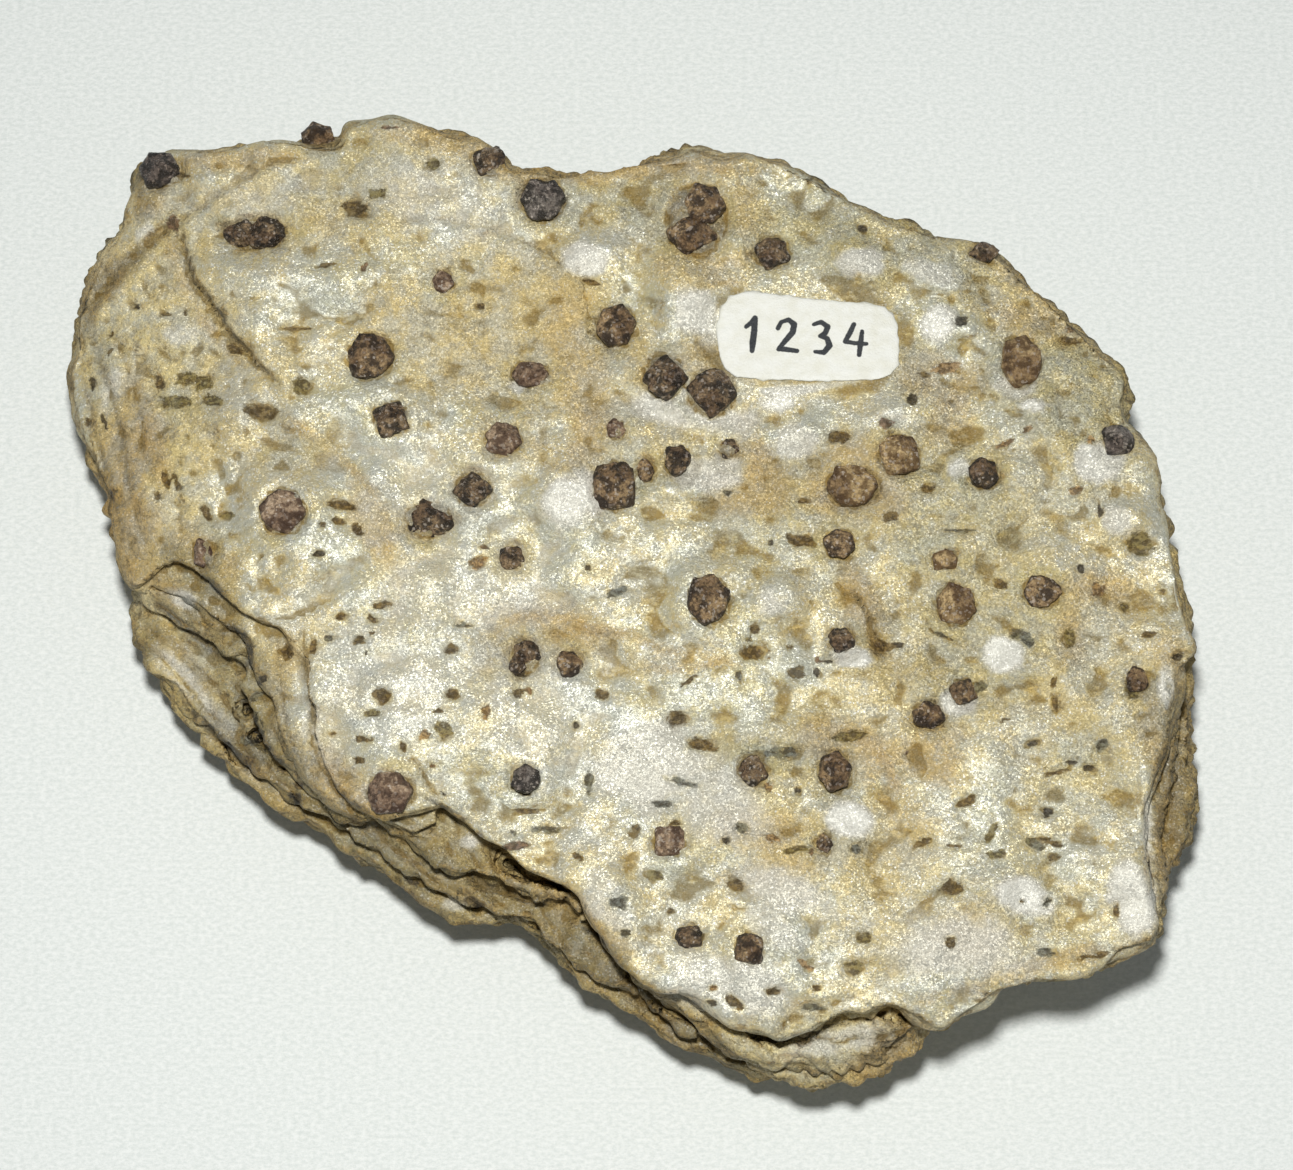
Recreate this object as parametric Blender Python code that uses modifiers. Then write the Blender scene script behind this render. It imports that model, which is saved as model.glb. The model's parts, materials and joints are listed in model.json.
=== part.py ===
"""Garnet schist: a hand specimen of silvery mica schist, set with garnet crystals, with a patch of white paint.

The stone is one piece. Its leaves lie almost level and bow down towards the left flank and the front tip. It
rests on a small flat spot underneath. Every larger crystal is a piece of its own in a pocket of the stone.

Plan places in the tables are millimetres at the level of the top face, as they appear from a viewing point in
front of the stone and high above it. settle() carries each one along its line of sight to its real height, so
that a ledge or a crystal lies where it is seen. +X is the long side, +Y is away from the viewer, +Z is up.
"""

import math
import random

import bmesh
import bpy
from mathutils import Matrix, Vector, noise
from mathutils.bvhtree import BVHTree

NAME = "garnet_schist"
MM = 0.001

# Viewing point, and where the middle of the finished stone lies in the plan
TOP = 34.0
VIEW_ELEVATION = math.radians(76.0)
VIEW_DISTANCE = 480.0
EYE = Vector((0.0, -VIEW_DISTANCE * math.cos(VIEW_ELEVATION), TOP + VIEW_DISTANCE * math.sin(VIEW_ELEVATION)))
MIDDLE = Vector((-2.724, 2.309, 0.0))

# Gap round a crystal and under the paint, grid of the rough shape, its facets, and what is cut off the foot, in mm
GAP = 0.35
VOXEL = 0.8
BLANK_TRIANGLES = 3340
FOOT_TRIM = 0.5

# Facets that meet at a sharper angle than this, in radians, lie folded and are eased
SHARPEST = 2.0

# Edges of the leaves, clockwise from the notch on the left
LEFT = [
    (-61.8, 0.2), (-63.6, 5.5), (-64.7, 11.2), (-67, 15.3), (-68.7, 19.4), (-70.3, 26.3), (-70.1, 32),
    (-69.3, 35.7), (-66.4, 42.1), (-63.8, 44.9), (-62.9, 49.8), (-62.4, 53),
]
BACK = [
    (-59, 55), (-54.4, 54.6), (-50.2, 55.4), (-45, 56.4), (-38.4, 56.3), (-36.8, 58.6), (-31.5, 59), (-27, 58.1),
    (-21.3, 56.8), (-18.4, 55), (-17.5, 52.7), (-12.5, 52.5), (-4.8, 52), (0.4, 53.8), (6.5, 54.7), (9.5, 53.7),
    (12.6, 54.5), (16.8, 53.8), (20.6, 51.8), (24.1, 49.3), (29.3, 46.2), (37.3, 43.6), (41, 43), (44.6, 40.5),
    (48.8, 36.4), (54.6, 30.7),
]
RIGHT = [(58.4, 25.5), (57.8, 20.6), (60.8, 15.7), (61.9, 10), (63, 4.5), (64.1, 0), (64.6, -4.5), (65.3, -8)]
RIGHT_CREST = [
    (63.3, -9.6), (63.2, -14), (61.6, -19.7), (60, -23.5), (58.7, -28.2), (58.5, -33.6), (59.1, -37.6), (60.2, -41),
]
RIGHT_STEP = [(64.4, -11), (64, -16), (62.8, -21), (61.4, -27), (60.9, -32), (60.5, -38), (60.3, -42)]
RIGHT_WALL = [
    (65.4, -12), (65.2, -16), (64.8, -21), (64.3, -27), (63.4, -31.6), (61.7, -34.4), (61.2, -38), (60.2, -42),
]
LOWER_RIGHT = [(59.4, -43.3), (55.8, -44.6), (50.8, -46.9), (45.7, -47.9), (41.3, -49), (39.8, -50.7), (36.3, -52.4)]
TIP_TOP = [
    (34.7, -53.4), (31.9, -53), (28.7, -51.1), (25.5, -52.1), (23.6, -51.9), (19.4, -53.7), (15.3, -54.8),
    (12, -53.6), (8.2, -51.5), (4, -48.8), (1.5, -49.3),
]
MAIN_CRACK = [
    (-0.1, -47.9), (-3, -44.7), (-5.8, -41.6), (-7.6, -37.8), (-9.6, -35.9), (-13.8, -35.1), (-16.2, -33.3),
    (-19.1, -30.8), (-21.3, -28.7), (-24.6, -27.2),
]
INNER_LEDGE = [(-31, -28.7), (-35.1, -27.1), (-39, -22.5), (-40.1, -18.4), (-40.4, -15.3), (-41.4, -9.6), (-44, -5.5)]
CRACK_A = [(-50.2, -2), (-52.8, 0.6), (-57, 3)]
UNDER_LEDGE = [
    (-24.8, -29), (-28, -30.4), (-31.5, -29.9), (-35.5, -28.2), (-40.4, -23.6), (-42.8, -20), (-44.4, -15), (-46.6, -10),
    (-47.5, -6.6), (-51.4, -5), (-55.8, -1), (-59.5, 1),
]
TIP_MIDDLE = [
    (31.6, -53.6), (27.5, -56.2), (22.8, -57.6), (18.6, -57.3), (15, -58.1), (11.5, -56.2), (8.9, -55.3), (5.4, -52.4),
    (1.3, -49.8), (-3, -45.5), (-6.5, -42),
]
SHELF = [(-9.2, -38.2), (-12.7, -39), (-16.7, -37.2), (-20.1, -35.9), (-23, -35), (-28, -31.7)]
CRACK_C = [
    (-34, -28.8), (-38, -25.6), (-42.1, -22.3), (-44.5, -21), (-46.3, -17.9), (-48.7, -12.4), (-47.6, -9.6), (-51.1, -9),
    (-55.9, -4.9), (-59.4, -1.7),
]
TIP_LOW = [(30.4, -56.4), (27.8, -58.8), (23.9, -59.5), (20.1, -60.5), (15.5, -59.6), (13, -57.8), (9.5, -56.2)]
OUTER_LEDGE = [
    (4, -53.5), (-3, -48), (-10.5, -44), (-13, -41.5), (-20, -39), (-26, -36.2), (-31, -33), (-38, -28.5),
    (-44.5, -24.2), (-48.8, -20.4), (-51.3, -18.1), (-54.6, -15.6), (-56.6, -11.6), (-59.2, -9.6), (-61.2, -4.6),
]
FRONT_RIM = [
    (12.7, -59.5), (7.9, -57.2), (3, -55.1), (-0.7, -52.4), (-3.7, -49.8), (-10.1, -45.7), (-12.3, -43.3),
    (-14.9, -41.3), (-20, -41), (-26.1, -37.9), (-29.7, -35.7), (-32.6, -33.1), (-35.2, -32.2), (-39.1, -29.5),
    (-43.4, -26.8), (-47.4, -23.8), (-51.6, -19.9), (-53.4, -17.6), (-55.3, -15.2), (-56.6, -12), (-58.6, -8.5),
    (-60.4, -3.5),
]
UNDERCUT = [(54, -38), (45, -43), (37, -47), (33, -50.5)]
HIDDEN_BACK = [(-58, 52), (-45, 53.5), (-31, 55), (-17, 50), (0, 49.5), (14, 50), (29, 43), (44, 37.5), (55, 28)]
HIDDEN_RIGHT = [(58, 18), (61.5, 5), (64, -6)]

# Level span of each leaf, bottom and top, before the bow
CAP_LEVELS = (28.5, 34.0)
UNDER_CAP_LEVELS = (25.5, 31.0)
SECOND_LEVELS = (21.0, 27.5)
THIRD_LEVELS = (16.5, 23.0)
FOURTH_LEVELS = (11.5, 18.5)
FIFTH_LEVELS = (7.0, 12.5)
KEEL_LEVELS = (3.2, 8.0)
FOOT_LEVELS = (0.0, 4.2)

# Unevenness of the surface: a broad bump and a finer one, sizes and heights
BUMP_SCALE = 11.0
BUMP_HEIGHT = 0.75
GRAIN_SCALE = 4.2
GRAIN_HEIGHT = 0.35

# Swells and hollows of the top face: plan place, radius, height
SWELLS = [
    (-52, 50, 9, 1.2), (-49, 44.5, 5, -2.2), (-26, 47, 10, 1.4), (-16, 33, 15, -1.2), (7, 35, 5, 1.6),
    (-8.5, 10, 5, 1.5), (11, 12.8, 3.2, -1.6), (26, 40, 6, 1.2), (38.5, 34, 4, 1.3), (-44, 9.3, 6, 1.0),
    (-13, -7, 7, -1.5), (7.4, -1.9, 6, 1.0), (-38, 0, 9, 0.9), (26.5, -3.5, 3, 1.3), (24, -18.5, 5, -1.0),
    (12, -44, 8, 0.9), (45, -38, 5, -1.3), (42, -9, 4, -1.0), (50, 22, 9, 0.8), (-30, -24, 7, 0.8),
    (5, -21, 7, -0.9), (30, 14, 8, 0.7), (-62, 25, 6, -1.0), (-29, -12, 9, 0.7), (50, -24, 6, -0.8),
]

# The hidden underside: where it starts, how much it is worn smooth, and how strongly it still undulates
UNDERSIDE = 13.0
WORN_PASSES = 14
WORN_RELIEF = 0.7

# Steps in the top face: drop on the left of the line, how far the lower side runs, and the line
STEPS = [
    (2.2, 11, [(-44, 24), (-46.4, 26.8), (-49, 29.8), (-51.6, 32.9), (-53.4, 36.2), (-55.1, 38), (-56.4, 42), (-58, 47)]),
    (1.1, 12, [(-34, 45), (-27, 46.5), (-19, 45), (-12.5, 42), (-8, 38), (-7.2, 33), (-8, 28)]),
    (1.2, 6, [(16, -40.2), (12.9, -39.7), (11.1, -39.2), (9.6, -38)]),
    (1.6, 6, [(30, -10), (28, -7.4), (27, -4), (25.2, -1), (21, 1.5)]),
    (1.0, 5, [(-46, -5), (-41.4, -4), (-38, -2), (-36, 3)]),
]

# Furrows in the surface: width, then the line that it follows
FURROWS = [
    (1.1, [(-56.2, 41.6), (-55.1, 38), (-53.4, 36.2), (-51.6, 32.9), (-49, 29.8), (-46.4, 26.8), (-44.9, 25.5)]),
    (0.8, [(-36.6, -20.5), (-39.4, -16), (-40, -11), (-40.6, -8)]),
]

# Clefts, open from above, along the edges of leaves: level of the floor, then plan place and width
CLEFTS = [
    (20.5, [
        (14, -58.4, 0.5), (12.2, -57, 0.9), (9.5, -55.7, 1.3), (5.4, -52.4, 1.3), (1.3, -49.5, 1.5), (-0.1, -48, 1.7),
        (-3, -44.7, 1.7), (-5.8, -41.6, 1.2), (-7.6, -37.8, 0.9), (-9.6, -36.1, 1.3), (-13.8, -35.2, 1.3),
        (-16.2, -33.4, 1.0), (-19.1, -30.8, 0.8), (-21.6, -28.6, 0.6), (-25, -26.6, 0.4),
    ]),
    (23.0, [
        (32.6, -53, 0.6), (30.4, -52, 1.1), (28.7, -51.1, 1.1), (25.5, -52.1, 1.1), (23.6, -51.9, 1.4),
        (19.4, -53.7, 1.5), (15.3, -54.8, 1.4), (12, -53.5, 1.8), (8.2, -51.3, 1.8), (4.6, -49, 0.9),
    ]),
    (17.5, [
        (-38.5, -25.6, 0.4), (-42.1, -22.5, 0.8), (-44.5, -21.2, 1.2), (-46.3, -18.1, 0.9), (-48.3, -13.6, 0.8),
        (-48.6, -10.6, 0.4),
    ]),
    (13.5, [(-45.2, -23.6, 0.5), (-48.6, -20.9, 1.2), (-51.3, -18.5, 1.0), (-54.6, -15.9, 0.6)]),
    (17.0, [(31.9, -54, 0.5), (29.2, -54.8, 1.0), (26.8, -55.8, 0.5)]),
    (22.5, [(-22.4, -35, 0.5), (-18.9, -36.7, 0.7), (-15, -38.1, 0.7), (-12.7, -38.9, 0.8), (-9.2, -38, 0.5)]),
    (23.0, [(-37.4, -25.2, 0.4), (-35, -28, 0.8), (-31.4, -30.2, 0.8), (-26.2, -31.6, 0.7), (-23.4, -33.2, 0.4)]),
]

# Crystals: plan place, width, depth, form, turn in degrees, rise over the surface as a share of the height, colour
CRYSTALS = [
    [(-60.0, 52.8, 5.8, 5.2, "six", 10, 0.45, "plum")],
    [(-40.6, 56.6, 4.6, 3.4, "six", 0, 0.7, "rust")],
    [(-19.4, 54.0, 4.0, 3.8, "four", 20, 0.5, "umber")],
    [(-12.7, 49.0, 6.1, 6.2, "six", 15, 0.5, "plum")],
    [(-46.7, 44.5, 5.6, 4.8, "six", 0, 0.45, "umber"), (-49.9, 44.4, 4.2, 3.6, "four", 30, 0.45, "umber")],
    [(-33.9, 28.8, 6.4, 6.6, "six", 5, 0.4, "rust")],
    [(-31.1, 20.8, 4.2, 4.2, "four", 18, 0.45, "umber")],
    [(-25.0, 38.4, 2.8, 2.9, "six", 0, 0.4, "rose")],
    [(-14.2, 26.3, 4.8, 3.6, "six", 12, 0.45, "rose")],
    [(-17.5, 18.2, 5.2, 4.6, "six", 0, 0.4, "rose")],
    [(-3.6, 32.6, 5.4, 6.0, "six", 25, 0.5, "rust")],
    [(7.2, 48.3, 5.8, 5.8, "six", 8, 0.5, "rust"), (5.5, 44.6, 5.6, 4.6, "four", 35, 0.4, "rust")],
    [(15.4, 42.0, 4.2, 4.1, "four", 25, 0.5, "umber")],
    [(2.3, 26.0, 4.8, 5.0, "four", 45, 0.5, "umber")],
    [(8.0, 24.2, 5.3, 5.6, "four", 40, 0.5, "umber")],
    [(-0.1, 14.4, 2.5, 3.3, "six", 0, 0.3, "rust")],
    [(-4.0, 12.4, 5.6, 6.6, "four", 5, 0.45, "rust")],
    [(3.8, 15.5, 3.5, 4.3, "six", 30, 0.5, "umber")],
    [(-3.7, 19.6, 2.7, 2.8, "six", 0, 0.3, "rose")],
    [(-26.4, 8.4, 7.2, 5.8, "six", 0, 0.25, "umber")],
    [(-21.0, 11.8, 4.2, 4.0, "four", 45, 0.5, "umber")],
    [(-16.3, 3.4, 3.0, 3.0, "four", 10, 0.4, "umber")],
    [(-44.0, 9.3, 6.2, 6.4, "six", 0, 0.35, "rose")],
    [(-53.6, 4.0, 2.8, 4.0, "six", 0, 0.4, "rose")],
    [(7.4, -1.9, 5.8, 7.0, "six", 30, 0.45, "rust")],
    [(-14.3, -8.3, 3.1, 3.0, "four", 15, 0.4, "umber"), (-15.5, -10.0, 2.4, 2.9, "six", 0, 0.35, "umber")],
    [(-9.2, -9.8, 3.3, 3.4, "six", 20, 0.5, "rust")],
    [(23.3, 5.1, 4.2, 4.0, "six", 0, 0.45, "rust")],
    [(30.7, 16.2, 4.9, 5.4, "four", 12, 0.45, "ochre")],
    [(24.9, 12.4, 6.8, 6.2, "six", 20, 0.4, "ochre")],
    [(40.8, 13.9, 4.1, 4.3, "six", 0, 0.5, "umber")],
    [(45.8, 28.0, 5.6, 7.4, "six", 30, 0.4, "ochre")],
    [(57.2, 18.0, 4.0, 4.2, "four", 10, 0.5, "plum")],
    [(41.6, 42.2, 3.4, 2.4, "four", -35, 0.5, "umber")],
    [(10.0, 17.0, 2.6, 3.0, "six", 0, 0.3, "umber")],
    [(-30.6, -25.3, 5.8, 6.0, "six", 15, 0.35, "rose")],
    [(-14.4, -23.8, 4.0, 3.6, "six", -20, 0.5, "plum")],
    [(2.8, -31.3, 3.8, 4.0, "four", 5, 0.4, "rose")],
    [(12.1, -44.2, 3.7, 3.9, "four", -8, 0.45, "rust")],
    [(22.4, -23.0, 4.4, 5.5, "six", 30, 0.5, "rust")],
    [(12.6, -22.8, 3.3, 3.5, "four", 30, 0.4, "umber")],
    [(37.2, -2.4, 5.6, 5.8, "six", 0, 0.35, "ochre")],
    [(47.7, -0.9, 5.0, 4.8, "six", 10, 0.45, "rust")],
    [(33.6, -16.1, 4.6, 3.8, "six", 0, 0.45, "rust")],
    [(37.9, -13.1, 3.3, 3.0, "four", 20, 0.4, "rust")],
    [(36.1, 3.2, 3.3, 2.7, "four", 5, 0.35, "ochre")],
    [(58.7, -11.8, 2.8, 3.6, "six", 0, 0.4, "rust")],
    [(21.1, -31.6, 2.4, 2.6, "six", 0, 0.4, "rust")],
    [(5.0, -42.7, 3.5, 3.0, "four", 0, 0.25, "umber")],
    [(23.3, -6.7, 3.1, 3.0, "four", 20, 0.3, "umber")],
]

# Crystals too small to part from the stone: plan place and size
GRAINS = [
    (-58.3, 46.0, 2.3), (38.7, 33.3, 2.4), (18.1, -10.8, 2.2), (29.1, 8.5, 2.4), (0.9, -35.5, 2.4), (18.7, -46.0, 2.2),
    (24.3, -46.5, 2.5), (25.6, -43.0, 2.2), (47.0, -44.6, 2.3), (44.7, -6.0, 2.6), (51.3, 11.9, 2.2), (-1.1, -29.6, 2.4),
]

# Pits: plan place, length, width, turn in degrees, depth
PITS = [
    (-62.4, 35, 2.0, 1.6, 0, 1.2), (-67, 25.5, 2.0, 1.7, 60, 1.2), (-58.4, 26, 2.6, 1.8, 20, 1.3),
    (-53, 25, 2.8, 2.1, -10, 1.4), (-41.6, 24.5, 2.4, 2.3, 0, 1.3), (-46.7, 22, 3.2, 1.6, -20, 1.2),
    (-26.8, 53.6, 2.6, 1.7, 10, 1.1), (-35.9, 48.8, 3.2, 2.4, 0, 1.2),
    (36.2, 27, 3.5, 2.0, 0, 1.3), (51.6, 31.2, 2.8, 1.6, -30, 1.1),
    (-43.1, -8.4, 2.4, 2.1, -40, 1.6), (-49.3, -8, 5.5, 4.4, 60, 2.2), (-20, 2.8, 3.4, 2.0, -30, 1.2),
    (-23, -13.5, 2.5, 1.7, 0, 1.3), (-31.8, -14, 3.0, 2.0, -50, 1.3), (-36.5, 10, 3.2, 1.9, -15, 1.3),
    (11, 12.8, 4.2, 3.4, 60, 1.8), (18.3, 5.5, 3.8, 1.9, -10, 1.2), (12.6, -8.4, 3.3, 1.9, 0, 1.4),
    (63.4, -9.1, 3.0, 1.7, 20, 2.2), (50.8, -21.9, 5.0, 1.6, -10, 1.3),
    (38, -26.5, 2.7, 1.4, 25, 1.3), (47.6, -27.8, 1.8, 1.5, 0, 1.4), (46.2, -31.6, 3.4, 1.6, -15, 1.2),
    (40.8, -30.2, 3.4, 1.3, 50, 1.1), (36.3, -36.8, 3.4, 2.0, 0, 1.3), (24.2, -18.6, 4.6, 1.8, 5, 1.2),
    (3.3, -16.6, 3.2, 2.5, -15, 1.3), (6.8, -20.8, 4.0, 2.3, -10, 1.2), (-6.9, -24.2, 3.2, 1.4, 80, 1.2),
    (-12.2, -29.9, 4.5, 1.5, 5, 1.1), (-3.4, -38.6, 2.8, 1.9, 0, 1.1), (14.6, -31, 2.6, 1.4, -5, 1.1),
    (9.2, -31.4, 1.8, 1.5, 70, 1.4), (19.3, -51.1, 3.0, 1.5, 0, 1.1), (10.3, -50.4, 3.4, 2.0, -25, 1.2),
    (58.2, -14, 3.2, 2.0, 80, 1.2),
    (-20.4, -38.6, 3.0, 1.7, 0, 1.3), (-47.5, -19.6, 3.4, 2.2, 30, 1.4),
]

# White paint patch that carries the label: outline, middle and half sizes of its bed, thickness
LABEL = [
    (8.6, 33.0), (8.5, 31.2), (8.9, 28.8), (9.5, 27.3), (10.7, 26.3), (12.6, 25.9), (18.0, 25.7), (23.5, 25.6),
    (28.4, 25.8), (29.9, 26.4), (30.7, 27.6), (31.0, 29.6), (30.8, 32.4), (30.2, 34.2), (29.2, 35.1), (26.5, 35.7),
    (20.2, 36.3), (14.6, 37.0), (11.6, 37.1), (10.2, 36.6), (9.2, 35.2),
]
LABEL_MIDDLE = (19.7, 31.3)
LABEL_BED = (13.5, 8.2)
LABEL_THICK = 0.35

COLOURS = {
    "schist": ((0.50, 0.46, 0.36), 0.45, 0.25),
    "plum": ((0.14, 0.09, 0.11), 0.40, 0.0),
    "rust": ((0.20, 0.09, 0.05), 0.55, 0.0),
    "umber": ((0.09, 0.06, 0.04), 0.45, 0.0),
    "rose": ((0.32, 0.17, 0.12), 0.50, 0.0),
    "ochre": ((0.36, 0.20, 0.09), 0.65, 0.0),
    "paint": ((0.85, 0.85, 0.80), 0.60, 0.0),
}


def clear_scene():
    for obj in list(bpy.data.objects):
        bpy.data.objects.remove(obj)


def new_collection(name):
    collection = bpy.data.collections.new(name)
    bpy.context.scene.collection.children.link(collection)
    return collection


def material(name):
    """A plain finish with the colour, roughness and metallic share of the real surface."""
    made = bpy.data.materials.get(name)
    if made is None:
        colour, roughness, metallic = COLOURS[name]
        made = bpy.data.materials.new(name)
        made.use_nodes = True
        shader = made.node_tree.nodes["Principled BSDF"]
        shader.inputs["Base Color"].default_value = (*colour, 1.0)
        shader.inputs["Roughness"].default_value = roughness
        shader.inputs["Metallic"].default_value = metallic
    return made


def object_from(bm, name, collection, cutter=False):
    """A scene object, in metres, from a bmesh in mm."""
    bmesh.ops.recalc_face_normals(bm, faces=bm.faces)
    bmesh.ops.scale(bm, vec=(MM, MM, MM), verts=bm.verts)
    mesh = bpy.data.meshes.new(name)
    bm.to_mesh(mesh)
    bm.free()
    obj = bpy.data.objects.new(name, mesh)
    collection.objects.link(obj)
    if cutter:
        obj.hide_render = True
        obj.display_type = "WIRE"
    return obj


def baked(obj):
    """Replaces an object by the mesh that its modifiers or its curve make."""
    graph = bpy.context.evaluated_depsgraph_get()
    mesh = bpy.data.meshes.new_from_object(obj.evaluated_get(graph))
    name, collection = obj.name, obj.users_collection[0]
    bpy.data.objects.remove(obj)
    solid = bpy.data.objects.new(name, mesh)
    collection.objects.link(solid)
    return solid


def bow(x, y):
    """How far the leaves hang below the level of the top face at a plan place."""
    left = max(0.0, -38.0 - x)
    front_left = max(0.0, -0.72 * x - 0.69 * y - 34.0)
    tip = max(0.0, -42.0 - y)
    back_right = max(0.0, 0.7 * (x + y) - 38.0)
    return 0.013 * left**2 + 0.011 * front_left**2 + 0.012 * tip**2 + 0.006 * back_right**2


def settle(x, y, level):
    """The real point of a plan place on a leaf's level: bowed, and carried along the line of sight."""
    height = level * (1.0 - bow(x, y) / TOP)
    return EYE.lerp(Vector((x, y, TOP)), (EYE.z - height) / (EYE.z - TOP))


def flat_outline(points, low, high, name, collection):
    """A level slab with a hand-drawn outline, in plan places and levels, as a mesh object in mm."""
    curve = bpy.data.curves.new(name, "CURVE")
    curve.dimensions = "2D"
    curve.fill_mode = "BOTH"
    curve.extrude = (high - low) / 2
    spline = curve.splines.new("POLY")
    spline.points.add(len(points) - 1)
    for point, place in zip(spline.points, points):
        point.co = (place[0], place[1], 0.0, 1.0)
    spline.use_cyclic_u = True
    obj = bpy.data.objects.new(name, curve)
    collection.objects.link(obj)
    obj = baked(obj)
    bm = bmesh.new()
    bm.from_mesh(obj.data)
    bmesh.ops.remove_doubles(bm, verts=bm.verts, dist=1e-4)
    bmesh.ops.translate(bm, vec=(0, 0, (high + low) / 2), verts=bm.verts)
    bmesh.ops.recalc_face_normals(bm, faces=bm.faces)
    bm.to_mesh(obj.data)
    bm.free()
    return obj


def shrunk(outline, factor, shift=(0.0, 0.0)):
    return [(x * factor + shift[0], y * factor + shift[1]) for x, y in outline]


def leaf_outlines():
    """Outline and level span of every leaf, from the foot up."""
    cap = LEFT + BACK + RIGHT + RIGHT_CREST + LOWER_RIGHT + TIP_TOP + MAIN_CRACK + INNER_LEDGE + CRACK_A
    under_cap = LEFT + BACK + RIGHT + RIGHT_CREST + LOWER_RIGHT + TIP_TOP + MAIN_CRACK + UNDER_LEDGE
    second = (
        shrunk(LEFT, 0.99) + shrunk(BACK, 0.985) + RIGHT + RIGHT_STEP + shrunk(LOWER_RIGHT, 0.97) + TIP_MIDDLE + SHELF
        + CRACK_C
    )
    third = (
        shrunk(LEFT, 0.975) + HIDDEN_BACK + HIDDEN_RIGHT + RIGHT_WALL + shrunk(UNDERCUT, 1.04) + TIP_LOW + OUTER_LEDGE
    )
    fourth = shrunk(LEFT, 0.96) + shrunk(HIDDEN_BACK, 0.96) + HIDDEN_RIGHT + shrunk(RIGHT_WALL, 0.98) + UNDERCUT + FRONT_RIM
    return [
        (shrunk(fourth, 0.52, (3, 1)), FOOT_LEVELS),
        (shrunk(fourth, 0.75, (-3, 3)), KEEL_LEVELS),
        (shrunk(fourth, 0.9, (2, -2)), FIFTH_LEVELS),
        (fourth, FOURTH_LEVELS),
        (third, THIRD_LEVELS),
        (second, SECOND_LEVELS),
        (under_cap, UNDER_CAP_LEVELS),
        (cap, CAP_LEVELS),
    ]


def falloff(distance, radius):
    return math.exp(-((distance / radius) ** 2) * 1.5)


def relief(x, y, z):
    """Unevenness of the surface in mm, outwards."""
    bump = noise.noise(Vector((x, y, z * 1.6)) / BUMP_SCALE) * BUMP_HEIGHT * 2
    grain = noise.noise(Vector((x + 40.0, y, z * 2.2)) / GRAIN_SCALE) * GRAIN_HEIGHT * 2
    return bump + grain


def stepped(x, y):
    """How far the top face drops at a plan place, on the low side of the steps in it."""
    drop = 0.0
    for depth, run, line in STEPS:
        near, side, share = run, 0.0, 0.0
        for index in range(len(line) - 1):
            ax, ay = line[index]
            bx, by = line[index + 1]
            along_x, along_y = bx - ax, by - ay
            part = ((x - ax) * along_x + (y - ay) * along_y) / (along_x**2 + along_y**2)
            held = min(1.0, max(0.0, part))
            away = math.hypot(x - ax - held * along_x, y - ay - held * along_y)
            if away < near:
                near = away
                side = along_x * (y - ay) - along_y * (x - ax)
                share = (index + part) / (len(line) - 1)
        if side > 0.0:
            ends = min(1.0, max(0.0, 4 * share), max(0.0, 4 * (1 - share)))
            drop += depth * ends * (1 - near / run) ** 2
    return drop


def on_label_bed(x, y):
    """1 under the label, 0 away from it."""
    dx = (x - LABEL_MIDDLE[0]) / LABEL_BED[0]
    dy = (y - LABEL_MIDDLE[1]) / LABEL_BED[1]
    return 1.0 - min(1.0, max(0.0, (math.hypot(dx, dy) - 1.0) / 0.35))


def ease_folds(mesh):
    """Evens out the few facets that lie folded back on their neighbours."""
    bm = bmesh.new()
    bm.from_mesh(mesh)
    for _ in range(12):
        folded = {vert for edge in bm.edges if edge.calc_face_angle(0.0) > SHARPEST for vert in edge.verts}
        if not folded:
            break
        bmesh.ops.smooth_vert(
            bm, verts=list(folded), factor=0.4, use_axis_x=True, use_axis_y=True, use_axis_z=True
        )
    bm.to_mesh(mesh)
    bm.free()


def stone_blank(collection):
    """The stone before its pits, cracks and pockets: leaves grown together, bowed, uneven and faceted."""
    bm = bmesh.new()
    for number, (outline, (low, high)) in enumerate(leaf_outlines()):
        leaf = flat_outline(outline, low, high, f"leaf_{number}", collection)
        bm.from_mesh(leaf.data)
        bpy.data.objects.remove(leaf)
    stone = object_from(bm, "schist", collection)
    remesh = stone.modifiers.new("grown_together", "REMESH")
    remesh.mode = "VOXEL"
    remesh.voxel_size = VOXEL * MM
    stone = baked(stone)
    bm = bmesh.new()
    bm.from_mesh(stone.data)
    bmesh.ops.scale(bm, vec=(1 / MM,) * 3, verts=bm.verts)
    worn = [vert for vert in bm.verts if vert.co.z < UNDERSIDE]
    for verts, times in ((list(bm.verts), 2), (worn, WORN_PASSES)):
        for _ in range(times):
            bmesh.ops.smooth_vert(bm, verts=verts, factor=0.5, use_axis_x=True, use_axis_y=True, use_axis_z=True)
    bm.normal_update()
    places = []
    for vert in bm.verts:
        x, y, level = vert.co
        facing_up = max(0.0, vert.normal.z)
        rise = relief(x, y, level) * (1.0 if level > UNDERSIDE else WORN_RELIEF) * (1.0 - on_label_bed(x, y) * facing_up)
        point = vert.co + vert.normal * rise
        if facing_up > 0.0 and level > UNDERSIDE:
            point.z -= stepped(x, y) * facing_up
        for cx, cy, radius, height in SWELLS:
            point.z += height * falloff(math.hypot(x - cx, y - cy), radius) * facing_up * (1.0 - on_label_bed(x, y))
        places.append(settle(*point))
    for vert, place in zip(bm.verts, places):
        vert.co = place
    bpy.data.objects.remove(stone)
    stone = object_from(bm, "schist", collection)
    decimate = stone.modifiers.new("facets", "DECIMATE")
    decimate.ratio = BLANK_TRIANGLES / (2 * len(stone.data.polygons))
    stone = baked(stone)
    ease_folds(stone.data)
    return stone


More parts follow.
